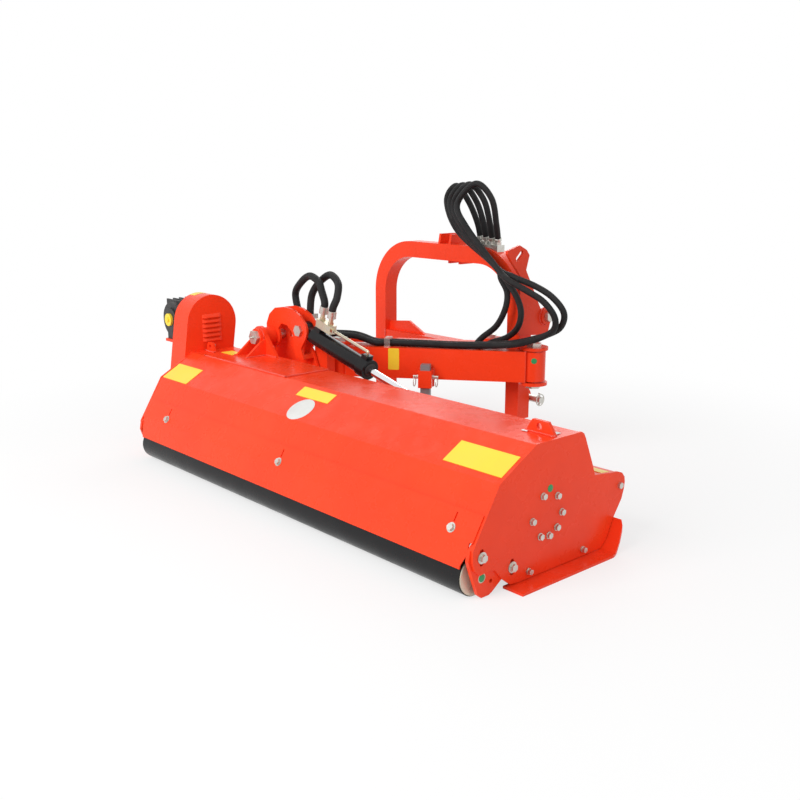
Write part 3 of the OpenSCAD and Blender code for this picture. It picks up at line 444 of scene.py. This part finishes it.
# The arm, from its king pin to the carrier's pin
ARM_P = Vector((164.0, 848.0))
CARRIER_P = Vector((-460.0, 359.0))
ARM_LENGTH = (CARRIER_P - ARM_P).length
ARM_DIRECTION = (CARRIER_P - ARM_P).normalized()
ARM_SIDE = Vector((ARM_DIRECTION.y, -ARM_DIRECTION.x))
ARM_TOP = 460.0


def on_arm(s, d, z):
    """A point of the arm: s along it from the king pin, d towards the tractor side, z up."""
    flat = ARM_P + s * ARM_DIRECTION + d * ARM_SIDE
    return Vector((flat.x, flat.y, z))


# The two cylinders
SWING_S = Vector((-1.0, 834.0))
SWING_E = Vector(on_arm(640, 105, 0)[:2])
SWING_DIRECTION = (SWING_E - SWING_S).normalized()
TILT_J = Vector((-520.0, 526.0))
TILT_R = Vector((235.0, 331.0))
TILT_ANGLE = math.atan2(TILT_R.y - TILT_J.y, TILT_R.x - TILT_J.x)
TILT_Y = 225.0
BARREL_R = 34.0


def on_tilt(x, z):
    """A point of the tilt cylinder: x along it from its pin, z square to it."""
    c, s = math.cos(TILT_ANGLE), math.sin(TILT_ANGLE)
    return Vector((TILT_J.x + x * c - z * s, TILT_Y, TILT_J.y + x * s + z * c))


# Hoses: the routes of the drawings, in the deck frame
HOSE_D = 25.0
LOOP_D = 30.0
HOSE_LAY_Z = ARM_TOP + HOSE_D / 2 + 2.0
SPLINE_STEPS = 12
HOSE_SIDES = 16
PORT_Z = 420.5
PORT_A = SWING_S + 60 * SWING_DIRECTION
PORT_B = SWING_S + 104 * SWING_DIRECTION
ARM_A, ARM_B = on_arm(-30, -46, 522), on_arm(-10, -78, 516)
CLIP_A, CLIP_B = -637, -556
VALVE_A, VALVE_B = (on_tilt(x, BARREL_R + 76) for x in (98, 152))
LEAD_A, LEAD_B = (on_tilt(x, BARREL_R + 118) for x in (98, 152))


def on_top(s, d):
    return on_arm(s, d, HOSE_LAY_Z)


def loop_up(i):
    """Hose number i from its coupler on the arch over its loop to the tie."""
    return [
        (-190 + 33 * i, 900, 876),
        (-206 + 45 * i, 896 - 10 * i, 943),
        (-250 + 62 * i, 886 - 20 * i, 1030 + 6 * i),
        (-309 + 63 * i, 872 - 27 * i, 1094 + 4 * i),
        (-356 + 48 * i, 862 - 27 * i, 1029 - 2 * i),
        (-272 + 42 * i, 850 - 27 * i, 906 + 9 * i),
        (-58 + 29 * i, 848 - 27 * i, 780),
    ]


# Each hose: its route, its first and last body, and where the blend between them starts and ends
HOSES = {
    "hose_swing_a": (
        [*loop_up(0), (-12, 838, 728), (36, 822, 679), (38, 810, 614), (2, 800, 543),
         (-60, 785, 490), (*PORT_B, 455), (*PORT_B, PORT_Z)],
        "headstock", "swing_barrel", (38, 810, 614), (*PORT_B, 455)),
    "hose_swing_b": (
        [*loop_up(1), (50, 815, 716), (110, 803, 662), (136, 795, 606), (118, 795, 548),
         (50, 808, 500), (-30, 806, 470), (*PORT_A, 446), (*PORT_A, PORT_Z)],
        "headstock", "swing_barrel", (110, 803, 662), (*PORT_A, 446)),
    "hose_tilt_a": (
        [*loop_up(2), (95, 785, 752), (200, 800, 722), (279, 812, 684), (322, 830, 625),
         (290, 845, 562), ARM_A],
        "headstock", "arm", (0, 794, 780), ARM_A),
    "hose_tilt_b": (
        [*loop_up(3), (100, 757, 740), (190, 765, 705), (260, 782, 668), (300, 802, 610),
         (285, 812, 556), ARM_B],
        "headstock", "arm", (29, 767, 780), ARM_B),
    "hose_arm_a": (
        [ARM_A, on_arm(70, -34, 494), on_arm(180, -8, 479), on_top(300, -4), on_top(440, 4),
         on_top(560, 13), on_top(604, 13), on_top(650, 21), (-478, 455, 489), (-590, 385, 491),
         (CLIP_A, 312, 508), (CLIP_A, 278, 566)],
        "arm", "carrier", on_top(650, 21), (CLIP_A, 312, 508)),
    "hose_arm_b": (
        [ARM_B, on_arm(80, -62, 490), on_arm(190, -36, 478), on_top(300, -31), on_top(440, -22),
         on_top(560, -13), on_top(604, -13), on_top(645, -19), (-430, 420, 489), (-520, 382, 491),
         (CLIP_B, 312, 508), (CLIP_B, 278, 566)],
        "arm", "carrier", on_top(645, -19), (CLIP_B, 312, 508)),
    "hose_loop_a": (
        [(CLIP_A, 278, 584), (-654, 277, 656), (-605, 270, 707), (-533, 262, 741),
         (-459, 250, 725), (-419, 236, 690), LEAD_A, VALVE_A],
        "carrier", "tilt_barrel", (-533, 262, 741), VALVE_A),
    "hose_loop_b": (
        [(CLIP_B, 278, 584), (-550, 284, 660), (-509, 292, 714), (-429, 286, 752),
         (-356, 268, 726), (-332, 244, 676), LEAD_B, VALVE_B],
        "carrier", "tilt_barrel", (-429, 286, 752), VALVE_B),
}
COUPLER_FERRULE, PORT_FERRULE = 14, 30
FERRULE_RIB = 10


def make_ferrule(name, end, inward, body, radius, length):
    """A crimped sleeve at the end of a hose, with ribs along it."""
    skirt, crest, valley = radius - 0.1, radius + 2.6, radius + 1.7
    profile = [(skirt, 0), (crest, 0)]
    ribs = max(1, round(length / FERRULE_RIB))
    for k in range(ribs):
        low, high = length * k / ribs, length * (k + 1) / ribs
        profile += [(crest, low + 0.1), (crest, high - 2.4)]
        profile += [(valley, high - 1.8), (valley, high - 0.6)]
    profile += [(radius + 0.8, length), (skirt, length)]
    return turned_piece(name, profile, end, inward, 24, "zinc", body)


for name, (route, first_body, last_body, start, stop) in HOSES.items():
    width = LOOP_D if name.startswith("hose_loop") else HOSE_D
    line = catmull([spot(*p) for p in route], SPLINE_STEPS)
    mesh, length = tube_mesh(name + "_sleeve", line, mm(width / 2), HOSE_SIDES)
    shade_smooth(mesh)
    mesh.materials.append(FINISHES["hose"])
    hose = bpy.data.objects.new(name + "_sleeve", mesh)
    scene.collection.objects.link(hose)
    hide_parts(name)
    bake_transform(hose)
    if name.startswith(("hose_swing", "hose_tilt")):
        make_ferrule(name + "_coupler_ferrule", line[0], line[1] - line[0],
                                 first_body, width / 2, COUPLER_FERRULE)
    if name.startswith(("hose_swing", "hose_loop")):
        make_ferrule(name + "_port_ferrule", line[-1], line[-2] - line[-1],
                                 last_body, width / 2, PORT_FERRULE)


# Geometry Nodes
def new_tree(name, inputs, output):
    tree = bpy.data.node_groups.new(name, "GeometryNodeTree")
    for label, kind in (*inputs, ("Finish", "Material")):
        tree.interface.new_socket(label, in_out="INPUT", socket_type="NodeSocket" + kind)
    tree.interface.new_socket(output, in_out="OUTPUT", socket_type="NodeSocketGeometry")
    return tree, tree.nodes.new("NodeGroupInput").outputs


def repeat_form(tree, pick, points, form):
    """One form on each point, made real, in the given finish, as the tree's result."""
    nodes, link = tree.nodes, tree.links.new
    instance = nodes.new("GeometryNodeInstanceOnPoints")
    realize = nodes.new("GeometryNodeRealizeInstances")
    set_material = nodes.new("GeometryNodeSetMaterial")
    link(points, instance.inputs["Points"])
    link(form, instance.inputs["Instance"])
    link(instance.outputs["Instances"], realize.inputs["Geometry"])
    link(realize.outputs["Geometry"], set_material.inputs["Geometry"])
    link(pick["Finish"], set_material.inputs["Material"])
    link(set_material.outputs["Geometry"], nodes.new("NodeGroupOutput").inputs[0])


def make_bead_tree():
    """Weld beads laid along a seam."""
    inputs = (("Seam", "Geometry"), ("Pitch", "Float"), ("Radius", "Float"))
    tree, pick = new_tree("weld_beads", inputs, "Beads")
    to_curve = tree.nodes.new("GeometryNodeMeshToCurve")
    resample = tree.nodes.new("GeometryNodeResampleCurve")
    resample.mode = "LENGTH"
    ball = tree.nodes.new("GeometryNodeMeshIcoSphere")
    ball.inputs["Subdivisions"].default_value = 2
    tree.links.new(pick["Seam"], to_curve.inputs["Mesh"])
    tree.links.new(to_curve.outputs["Curve"], resample.inputs["Curve"])
    tree.links.new(pick["Pitch"], resample.inputs["Length"])
    tree.links.new(pick["Radius"], ball.inputs["Radius"])
    repeat_form(tree, pick, resample.outputs["Curve"], ball.outputs["Mesh"])
    return tree


def make_row_tree():
    """One form repeated in a straight row."""
    inputs = (("Louvre", "Geometry"), ("Count", "Int"), ("Step", "Vector"))
    tree, pick = new_tree("louvre_row", inputs, "Row")
    line = tree.nodes.new("GeometryNodeMeshLine")
    tree.links.new(pick["Count"], line.inputs["Count"])
    tree.links.new(pick["Step"], line.inputs["Offset"])
    repeat_form(tree, pick, line.outputs["Mesh"], pick["Louvre"])
    return tree


def grow(name, guide_mesh, tree, values, body, material):
    """Runs a Geometry Nodes tree on a guide mesh and keeps the result as a painted piece."""
    guide = bpy.data.objects.new(name + "_guide", guide_mesh)
    scene.collection.objects.link(guide)
    modifier = guide.modifiers.new("grow", "NODES")
    modifier.node_group = tree
    sockets = {s.name: s.identifier for s in tree.interface.items_tree if s.in_out == "INPUT"}
    for label, value in {**values, "Finish": material}.items():
        modifier[sockets[label]] = value
    bpy.context.view_layer.update()
    depsgraph = bpy.context.evaluated_depsgraph_get()
    result = bpy.data.meshes.new_from_object(guide.evaluated_get(depsgraph))
    result.name = name
    bpy.data.objects.remove(guide)
    return settle(name, result, "paint", body, material)


BEADS = make_bead_tree()
BEAD_PITCH, BEAD_R = 6.0, 4.5


def weld(name, body, *lines):
    vertices, edges = [], []
    for line in lines:
        base = len(vertices)
        vertices += [spot(*p) for p in line]
        edges += [(base + i, base + i + 1) for i in range(len(line) - 1)]
    seam = bpy.data.meshes.new(name + "_seam")
    seam.from_pydata(vertices, edges, [])
    return grow(name, seam, BEADS, {"Pitch": mm(BEAD_PITCH), "Radius": mm(BEAD_R)}, body, WELD)


def ring_line(centre, radius, axis, sides=40):
    matrix = turn_to(axis).to_3x3()
    ring = [Vector(centre) + matrix @ Vector((radius * c, radius * s, 0)) for c, s in circle(sides)]
    return ring + ring[:1]


# Weld seams: the tilt bracket's plate, its uprights and bush, and the lifting eyes
PAD_L, PAD_R, PAD_REAR, PAD_FRONT = -840, -270, -54, 146
PAD_TOP = TOP_Z + 5
UPRIGHT_REAR, UPRIGHT_FRONT = 30, 124
weld("deck_weld", "deck",
     [(PAD_L, PAD_REAR, TOP_Z), (PAD_R, PAD_REAR, TOP_Z)],
     [(PAD_L, PAD_REAR, TOP_Z), (PAD_L, PAD_FRONT, TOP_Z)],
     [(PAD_R, PAD_REAR, TOP_Z), (PAD_R, PAD_FRONT, TOP_Z)],
     [(-820, UPRIGHT_FRONT, PAD_TOP), (-590, UPRIGHT_FRONT, PAD_TOP)],
     [(-747, UPRIGHT_REAR, PAD_TOP), (-747, UPRIGHT_FRONT, PAD_TOP)],
     [(-659, UPRIGHT_REAR, PAD_TOP), (-659, UPRIGHT_FRONT, PAD_TOP)],
     ring_line((-705, 123, 486), 37, (0, 1, 0)),
     [(-938, 9, TOP_Z), (-878, 9, TOP_Z)],
     [(820, 43, TOP_Z), (933, 43, TOP_Z)])

# The arm's beam at its two hubs, and the sleeve of the parking leg
BEAM_LOW, BEAM_HIGH, BEAM_SIDE, HUB_REACH = 337, 459, 46, 32
SLEEVE_LOW, SLEEVE_HIGH, SLEEVE_SIDE = 311, 379, -51
beam_ends = ((HUB_REACH, BEAM_SIDE), (HUB_REACH, -BEAM_SIDE), (ARM_LENGTH - HUB_REACH, -BEAM_SIDE))
weld("arm_weld", "arm",
     *([on_arm(s, d, BEAM_LOW), on_arm(s, d, BEAM_HIGH)] for s, d in beam_ends),
     *([on_arm(s, SLEEVE_SIDE, SLEEVE_LOW), on_arm(s, SLEEVE_SIDE, SLEEVE_HIGH)]
       for s in (397, 453)))
weld("carrier_weld", "carrier",
     [(-785, 255, 345), (-785, 255, 425), (-560, 255, 425)],
     [(-506, 302, 477), (-414, 302, 477)])

# The upper lug, both ends of the base tube, and the side ear with its boss
weld("head_weld", "headstock",
     [(72, 868, 476), (72, 932, 476)],
     [(1, 864, 430), (1, 864, 342)],
     [(-759, 864, 342), (-759, 864, 430)],
     ring_line((84, 1005, 572), 35, (1, 0, 0)),
     [(73, 935, 678), (73, 882, 768)])


# Louvres up the belt cover
def grid_rim(rows):
    """The points along the edge of a grid, once round."""
    right = [row[-1] for row in rows[1:]]
    left = [row[0] for row in rows[-2:0:-1]]
    return rows[0] + right + rows[-1][-2::-1] + left


def louvre_mesh(x, y_low, y_high, z_low, z_high, depth):
    """A pressed hood, flush along its top and open along its lower edge."""
    across, down, wall = 24, 8, 1.6
    work = bmesh.new()
    skins = []
    for inset, least in ((0.0, 0.2), (wall, 0.0)):
        rows = []
        for j in range(down + 1):
            v = j / down
            row = []
            for i in range(across + 1):
                u = i / across
                swell = (1 - (2 * u - 1) ** 8) * math.sin(v * math.pi / 2)
                out = max(least, depth * swell - inset)
                y, z = y_low + (y_high - y_low) * u, z_high - (z_high - z_low) * v
                row.append(work.verts.new(spot(x + out, y, z)))
            rows.append(row)
        skins.append(rows)
    outer, inner = skins
    for rows, order in ((outer, 1), (inner, -1)):
        for j in range(down):
            for i in range(across):
                corners = (rows[j][i], rows[j][i + 1], rows[j + 1][i + 1], rows[j + 1][i])
                work.faces.new(corners[::order])
    edge_out, edge_in = grid_rim(outer), grid_rim(inner)
    for k in range(len(edge_out)):
        after = (k + 1) % len(edge_out)
        work.faces.new((edge_out[k], edge_in[k], edge_in[after], edge_out[after]))
    return mesh_of(work, "louvre")


LOUVRE_COUNT, LOUVRE_STEP = 6, 20.0
grow("belt_cover_louvres", louvre_mesh(-HALF, 2, 94, 447, 463, 10), make_row_tree(),
     {"Count": LOUVRE_COUNT, "Step": (0.0, 0.0, mm(LOUVRE_STEP))}, "deck", FINISHES["paint"])

# Bolt of the belt cover, with its washer
WASHER = [(11, 0), (11, 2.2)]
BOLT_HEAD = [(9.5, 2.2), (9.5, 9), (8.2, 10)]
BOLT_PLACE = spot(-HALF, 49, 425)
work = bmesh.new()
add_lathe(work, WASHER, BOLT_PLACE, (1, 0, 0), 28)
add_lathe(work, BOLT_HEAD, BOLT_PLACE, (1, 0, 0), 6)
settle("cover_bolt", mesh_of(work, "cover_bolt"), "zinc", "deck")


def wire(name, points, radius, body, steps=8):
    line = catmull([spot(*p) for p in points], steps)
    mesh, _ = tube_mesh(name, line, mm(radius), 8)
    return settle(name, mesh, "zinc", body)


# Spring clips on both sides of the parking leg's sleeve
LEG_S, CLIP_REACH, CLIP_D, CLIP_Z, CLIP_WIRE_R = 425, 45, -77.5, 352, 1.8
CLIP_BEND = (
    (0, 0), (-21, 0), (-29, -12), (-29, -28), (-15, -38), (15, -38), (27, -30), (27, -10), (17, 0))
for tag, s in (("a", LEG_S - CLIP_REACH), ("b", LEG_S + CLIP_REACH)):
    bend = [on_arm(s, CLIP_D + d, CLIP_Z + z) for d, z in CLIP_BEND]
    wire("leg_pin_loop_" + tag, bend, CLIP_WIRE_R, "arm")

# Linch pins through the lower hitch studs
HEAD_X, LOW_Y, LOW_Z = -379.0, 960, 228
LINCH_X = 412.5 + 72
LINCH_R, LINCH_RING_R, LINCH_WIRE_R = 4.0, 24, 2.4
for tag, sign in (("right", 1), ("left", -1)):
    x = HEAD_X + sign * LINCH_X
    stem = [(x, LOW_Y, LOW_Z + rise) for rise in (30, 16, 0, -20)]
    wire("lower_linch_" + tag, stem + [(x + sign * 2, LOW_Y, LOW_Z - 24)], LINCH_R, "headstock")
    ring = [(x + 5 * sign, LOW_Y + LINCH_RING_R * s, LOW_Z + LINCH_RING_R * c)
            for c, s in circle(12)]
    wire("lower_linch_ring_" + tag, ring + ring[:1], LINCH_WIRE_R, "headstock", steps=4)

# Plain green dots
DOT_R = 11.5
DOT = [(DOT_R, 0.0), (DOT_R, 0.6), (10.8, 0.9)]
DOT_SIDES = 32
for name, place, axis, body in (
    ("dot_end_plate", (HALF, 11, 265), (1, 0, 0), "deck"),
    ("dot_roller_shaft", (941, -262, 62), (1, 0, 0), "roller"),
    ("dot_arm_end", on_arm(690, -50, 420), (-ARM_DIRECTION.y, ARM_DIRECTION.x, 0), "arm"),
):
    turned_piece(name, DOT, spot(*place), axis, DOT_SIDES, "paint", body, GREEN_DOT)

# The dot on the round end of the arm follows its curve
HUB_R, HUB_TURN, HUB_DOT_Z = 47.0, math.radians(-48.2), 424
layers = []
for depth, shrink in ((0.1, 1.0), (0.6, 1.0), (0.9, 0.94), (0.9, 0.66), (0.9, 0.33), (0.9, 0.04)):
    reach = HUB_R + depth
    ring = []
    for c, s in circle(DOT_SIDES):
        turn = HUB_TURN + DOT_R * shrink * c / HUB_R
        ring.append((ARM_P.x + reach * math.cos(turn), ARM_P.y + reach * math.sin(turn),
                     HUB_DOT_Z + DOT_R * shrink * s))
    layers.append(ring)
shell_piece("dot_arm", layers, "paint", "arm", GREEN_DOT)

# Blank yellow plate with round corners on the side of the arm
PLATE_PLACE = on_arm(561, -50, 414)
PLATE_W, PLATE_H, PLATE_T, PLATE_CORNER, PLATE_BEVEL = 45, 88, 0.9, 5.0, 0.4
across = Vector((-ARM_DIRECTION.x, -ARM_DIRECTION.y, 0))
upward = Vector((0, 0, 1))
outward = across.cross(upward)
outline = []
for cx, cy, first in ((1, 1, 0), (-1, 1, 90), (-1, -1, 180), (1, -1, 270)):
    for k in range(6):
        a = math.radians(first + 18 * k)
        outline.append((cx * (PLATE_W / 2 - PLATE_CORNER) + PLATE_CORNER * math.cos(a),
                        cy * (PLATE_H / 2 - PLATE_CORNER) + PLATE_CORNER * math.sin(a)))
layers = []
for depth, inset in ((0.0, 0.0), (PLATE_T * 0.6, 0.0), (PLATE_T, PLATE_BEVEL)):
    wide, tall = 1 - inset / PLATE_W, 1 - inset / PLATE_H
    layers.append([PLATE_PLACE + across * u * wide + upward * v * tall + outward * depth
                   for u, v in outline])
shell_piece("arm_blank_plate", layers, "yellow", "arm")

# Painted reflection: pale triangles on the deck top on both sides of the right lifting eye,
# standing in for the bright sky seen on the bare metal there
for tag, corners in (
    ("a", ((816, 27), (840, 28), (815, 79))),
    ("b", ((869, 85), (926, 36), (917, 91))),
):
    corners = [Vector(c) for c in corners]
    middle = sum(corners, Vector((0, 0))) / 3
    layers = []
    for rise, shrink in ((0.0, 1.0), (0.5, 1.0), (0.8, 0.96)):
        layers.append([(*(middle + (c - middle) * shrink), TOP_Z + rise) for c in corners])
    shell_piece("eye_reflection_patch_" + tag, layers, "cream", "deck", PALE_FILM_AND_REFLECTION)

# Blank yellow film bent over the top of the belt cover
COVER_Y, COVER_Z, COVER_R = 50, 525, 118
FILM_L, FILM_R = -1060, -1020
bend = [math.radians(82 + 3 * k) for k in range(10)]
rim = [(FILM_L, a) for a in bend] + [(FILM_R, a) for a in reversed(bend)]
count = len(rim)
work = bmesh.new()
layers = []
for lift in (0.1, 0.8):
    reach = COVER_R + lift
    points = [(x, COVER_Y + reach * math.cos(a), COVER_Z + reach * math.sin(a)) for x, a in rim]
    layers.append([work.verts.new(spot(*p)) for p in points])
low, high = layers
for k in range(count):
    after = (k + 1) % count
    work.faces.new((low[k], low[after], high[after], high[k]))
for ring in layers:
    for k in range(len(bend) - 1):
        work.faces.new((ring[k], ring[k + 1], ring[count - 2 - k], ring[count - 1 - k]))
settle("cover_top_film", mesh_of(work, "cover_top_film"), "yellow", "deck")

# Plain round plate on the slope of the hood
SLOPE_RUN, SLOPE_RISE, SLOPE_Z = 151, 85, 323
BADGE = [(54, 0.0), (54, 0.7), (53, 1.0)]
BADGE_X, BADGE_Y, BADGE_UP = -30, -162, 44
turned_piece("round_blank_plate", BADGE,
             spot(BADGE_X, BADGE_Y, SLOPE_Z + SLOPE_RISE * BADGE_UP / SLOPE_RUN + 0.2),
             (0, -SLOPE_RISE, SLOPE_RUN), 48, "cream", "deck", PALE_FILM_AND_REFLECTION)

# Wiper of the tilt cylinder and grease nipples
WIPER = [(15.6, 0), (27, 0), (27, 3), (25, 5), (19, 6), (15.6, 6)]
BARREL_END = 420
turned_piece("tilt_wiper", WIPER, spot(*on_tilt(BARREL_END, 0)),
             (math.cos(TILT_ANGLE), 0, math.sin(TILT_ANGLE)), 32, "belt", "tilt_barrel")
NIPPLE = [(5.5, 0), (5.5, 4), (3.4, 4.5), (3.4, 9), (2.4, 10), (3.2, 12), (3.2, 14), (2.2, 16)]
for name, place, axis, body in (
    ("nipple_king", (*ARM_P, 489), (0, 0, 1), "headstock"),
    ("nipple_carrier", (*CARRIER_P, 489), (0, 0, 1), "carrier"),
    ("nipple_link", (-106, 888, 486), (0, 0, 1), "headstock"),
    ("nipple_tilt", (-705, 92, 486), (0, -1, 0), "deck"),
):
    turned_piece(name, NIPPLE, spot(*place), axis, 16, "zinc", body)


# Light, floor and background
def lamp(name, place, target, size, watts):
    data = bpy.data.lights.new(name, "AREA")
    data.size = size
    data.energy = watts
    light = bpy.data.objects.new(name, data)
    light.location = place
    light.rotation_euler = (Vector(target) - Vector(place)).to_track_quat("-Z", "Y").to_euler()
    scene.collection.objects.link(light)


lamp("key_lamp", (0.2, -4.6, 3.3), (0, 0, 0.45), 3.0, 185)
lamp("side_lamp", (4.6, -0.4, 2.6), (0, 0, 0.4), 2.4, 22)
lamp("back_lamp", (-2.5, 3.8, 3.4), (0, 0, 0.5), 2.6, 60)


def camera_mask(tree):
    """One for camera, glossy and transmission rays, zero for the rays that only light the part."""
    path = tree.nodes.new("ShaderNodeLightPath")
    total = path.outputs["Is Camera Ray"]
    for label in ("Is Glossy Ray", "Is Transmission Ray"):
        total = math_node(tree, "ADD", total, path.outputs[label], clamp=True)
    return total


SKY_LIGHT, SKY_SEEN = 0.54, 1.0
world = bpy.data.worlds.new("studio")
scene.world = world
world.use_nodes = True
sky = world.node_tree
backdrop = sky.nodes["Background"]
backdrop.inputs["Color"].default_value = (1, 1, 1, 1)
level = sky.nodes.new("ShaderNodeMapRange")
level.inputs["To Min"].default_value = SKY_LIGHT
level.inputs["To Max"].default_value = SKY_SEEN
sky.links.new(camera_mask(sky), level.inputs["Value"])
sky.links.new(level.outputs["Result"], backdrop.inputs["Strength"])

# The floor shows shadows near the part and fades to white farther out
FLOOR_REACH = 30
FADE_NEAR, FADE_FAR, GLOW_NEAR, GLOW_FAR = 1.0, 2.6, 0.66, 1.0
floor_mesh = bpy.data.meshes.new("floor")
corner_signs = ((-1, -1), (1, -1), (1, 1), (-1, 1))
floor_corners = [(sx * FLOOR_REACH, sy * FLOOR_REACH, 0) for sx, sy in corner_signs]
floor_mesh.from_pydata(floor_corners, [], [(0, 1, 2, 3)])
floor = bpy.data.objects.new("floor", floor_mesh)
scene.collection.objects.link(floor)
floor_material = bpy.data.materials.new("pale_floor")
floor_material.use_nodes = True
tree = floor_material.node_tree
diffuse = tree.nodes["Principled BSDF"]
diffuse.inputs["Base Color"].default_value = (0.92, 0.92, 0.92, 1)
diffuse.inputs["Roughness"].default_value = 0.9
diffuse.inputs["Specular IOR Level"].default_value = 0.1
glow = tree.nodes.new("ShaderNodeEmission")
reach = tree.nodes.new("ShaderNodeVectorMath")
reach.operation = "LENGTH"
tree.links.new(tree.nodes.new("ShaderNodeTexCoord").outputs["Object"], reach.inputs[0])
fade = ramp(tree, reach.outputs["Value"], FADE_NEAR, FADE_FAR, GLOW_NEAR, GLOW_FAR)
blend = tree.nodes.new("ShaderNodeMixShader")
tree.links.new(math_node(tree, "MULTIPLY", camera_mask(tree), fade), blend.inputs["Fac"])
tree.links.new(diffuse.outputs[0], blend.inputs[1])
tree.links.new(glow.outputs[0], blend.inputs[2])
tree.links.new(blend.outputs[0], tree.nodes["Material Output"].inputs["Surface"])
floor_mesh.materials.append(floor_material)

scene.view_settings.view_transform = "Standard"
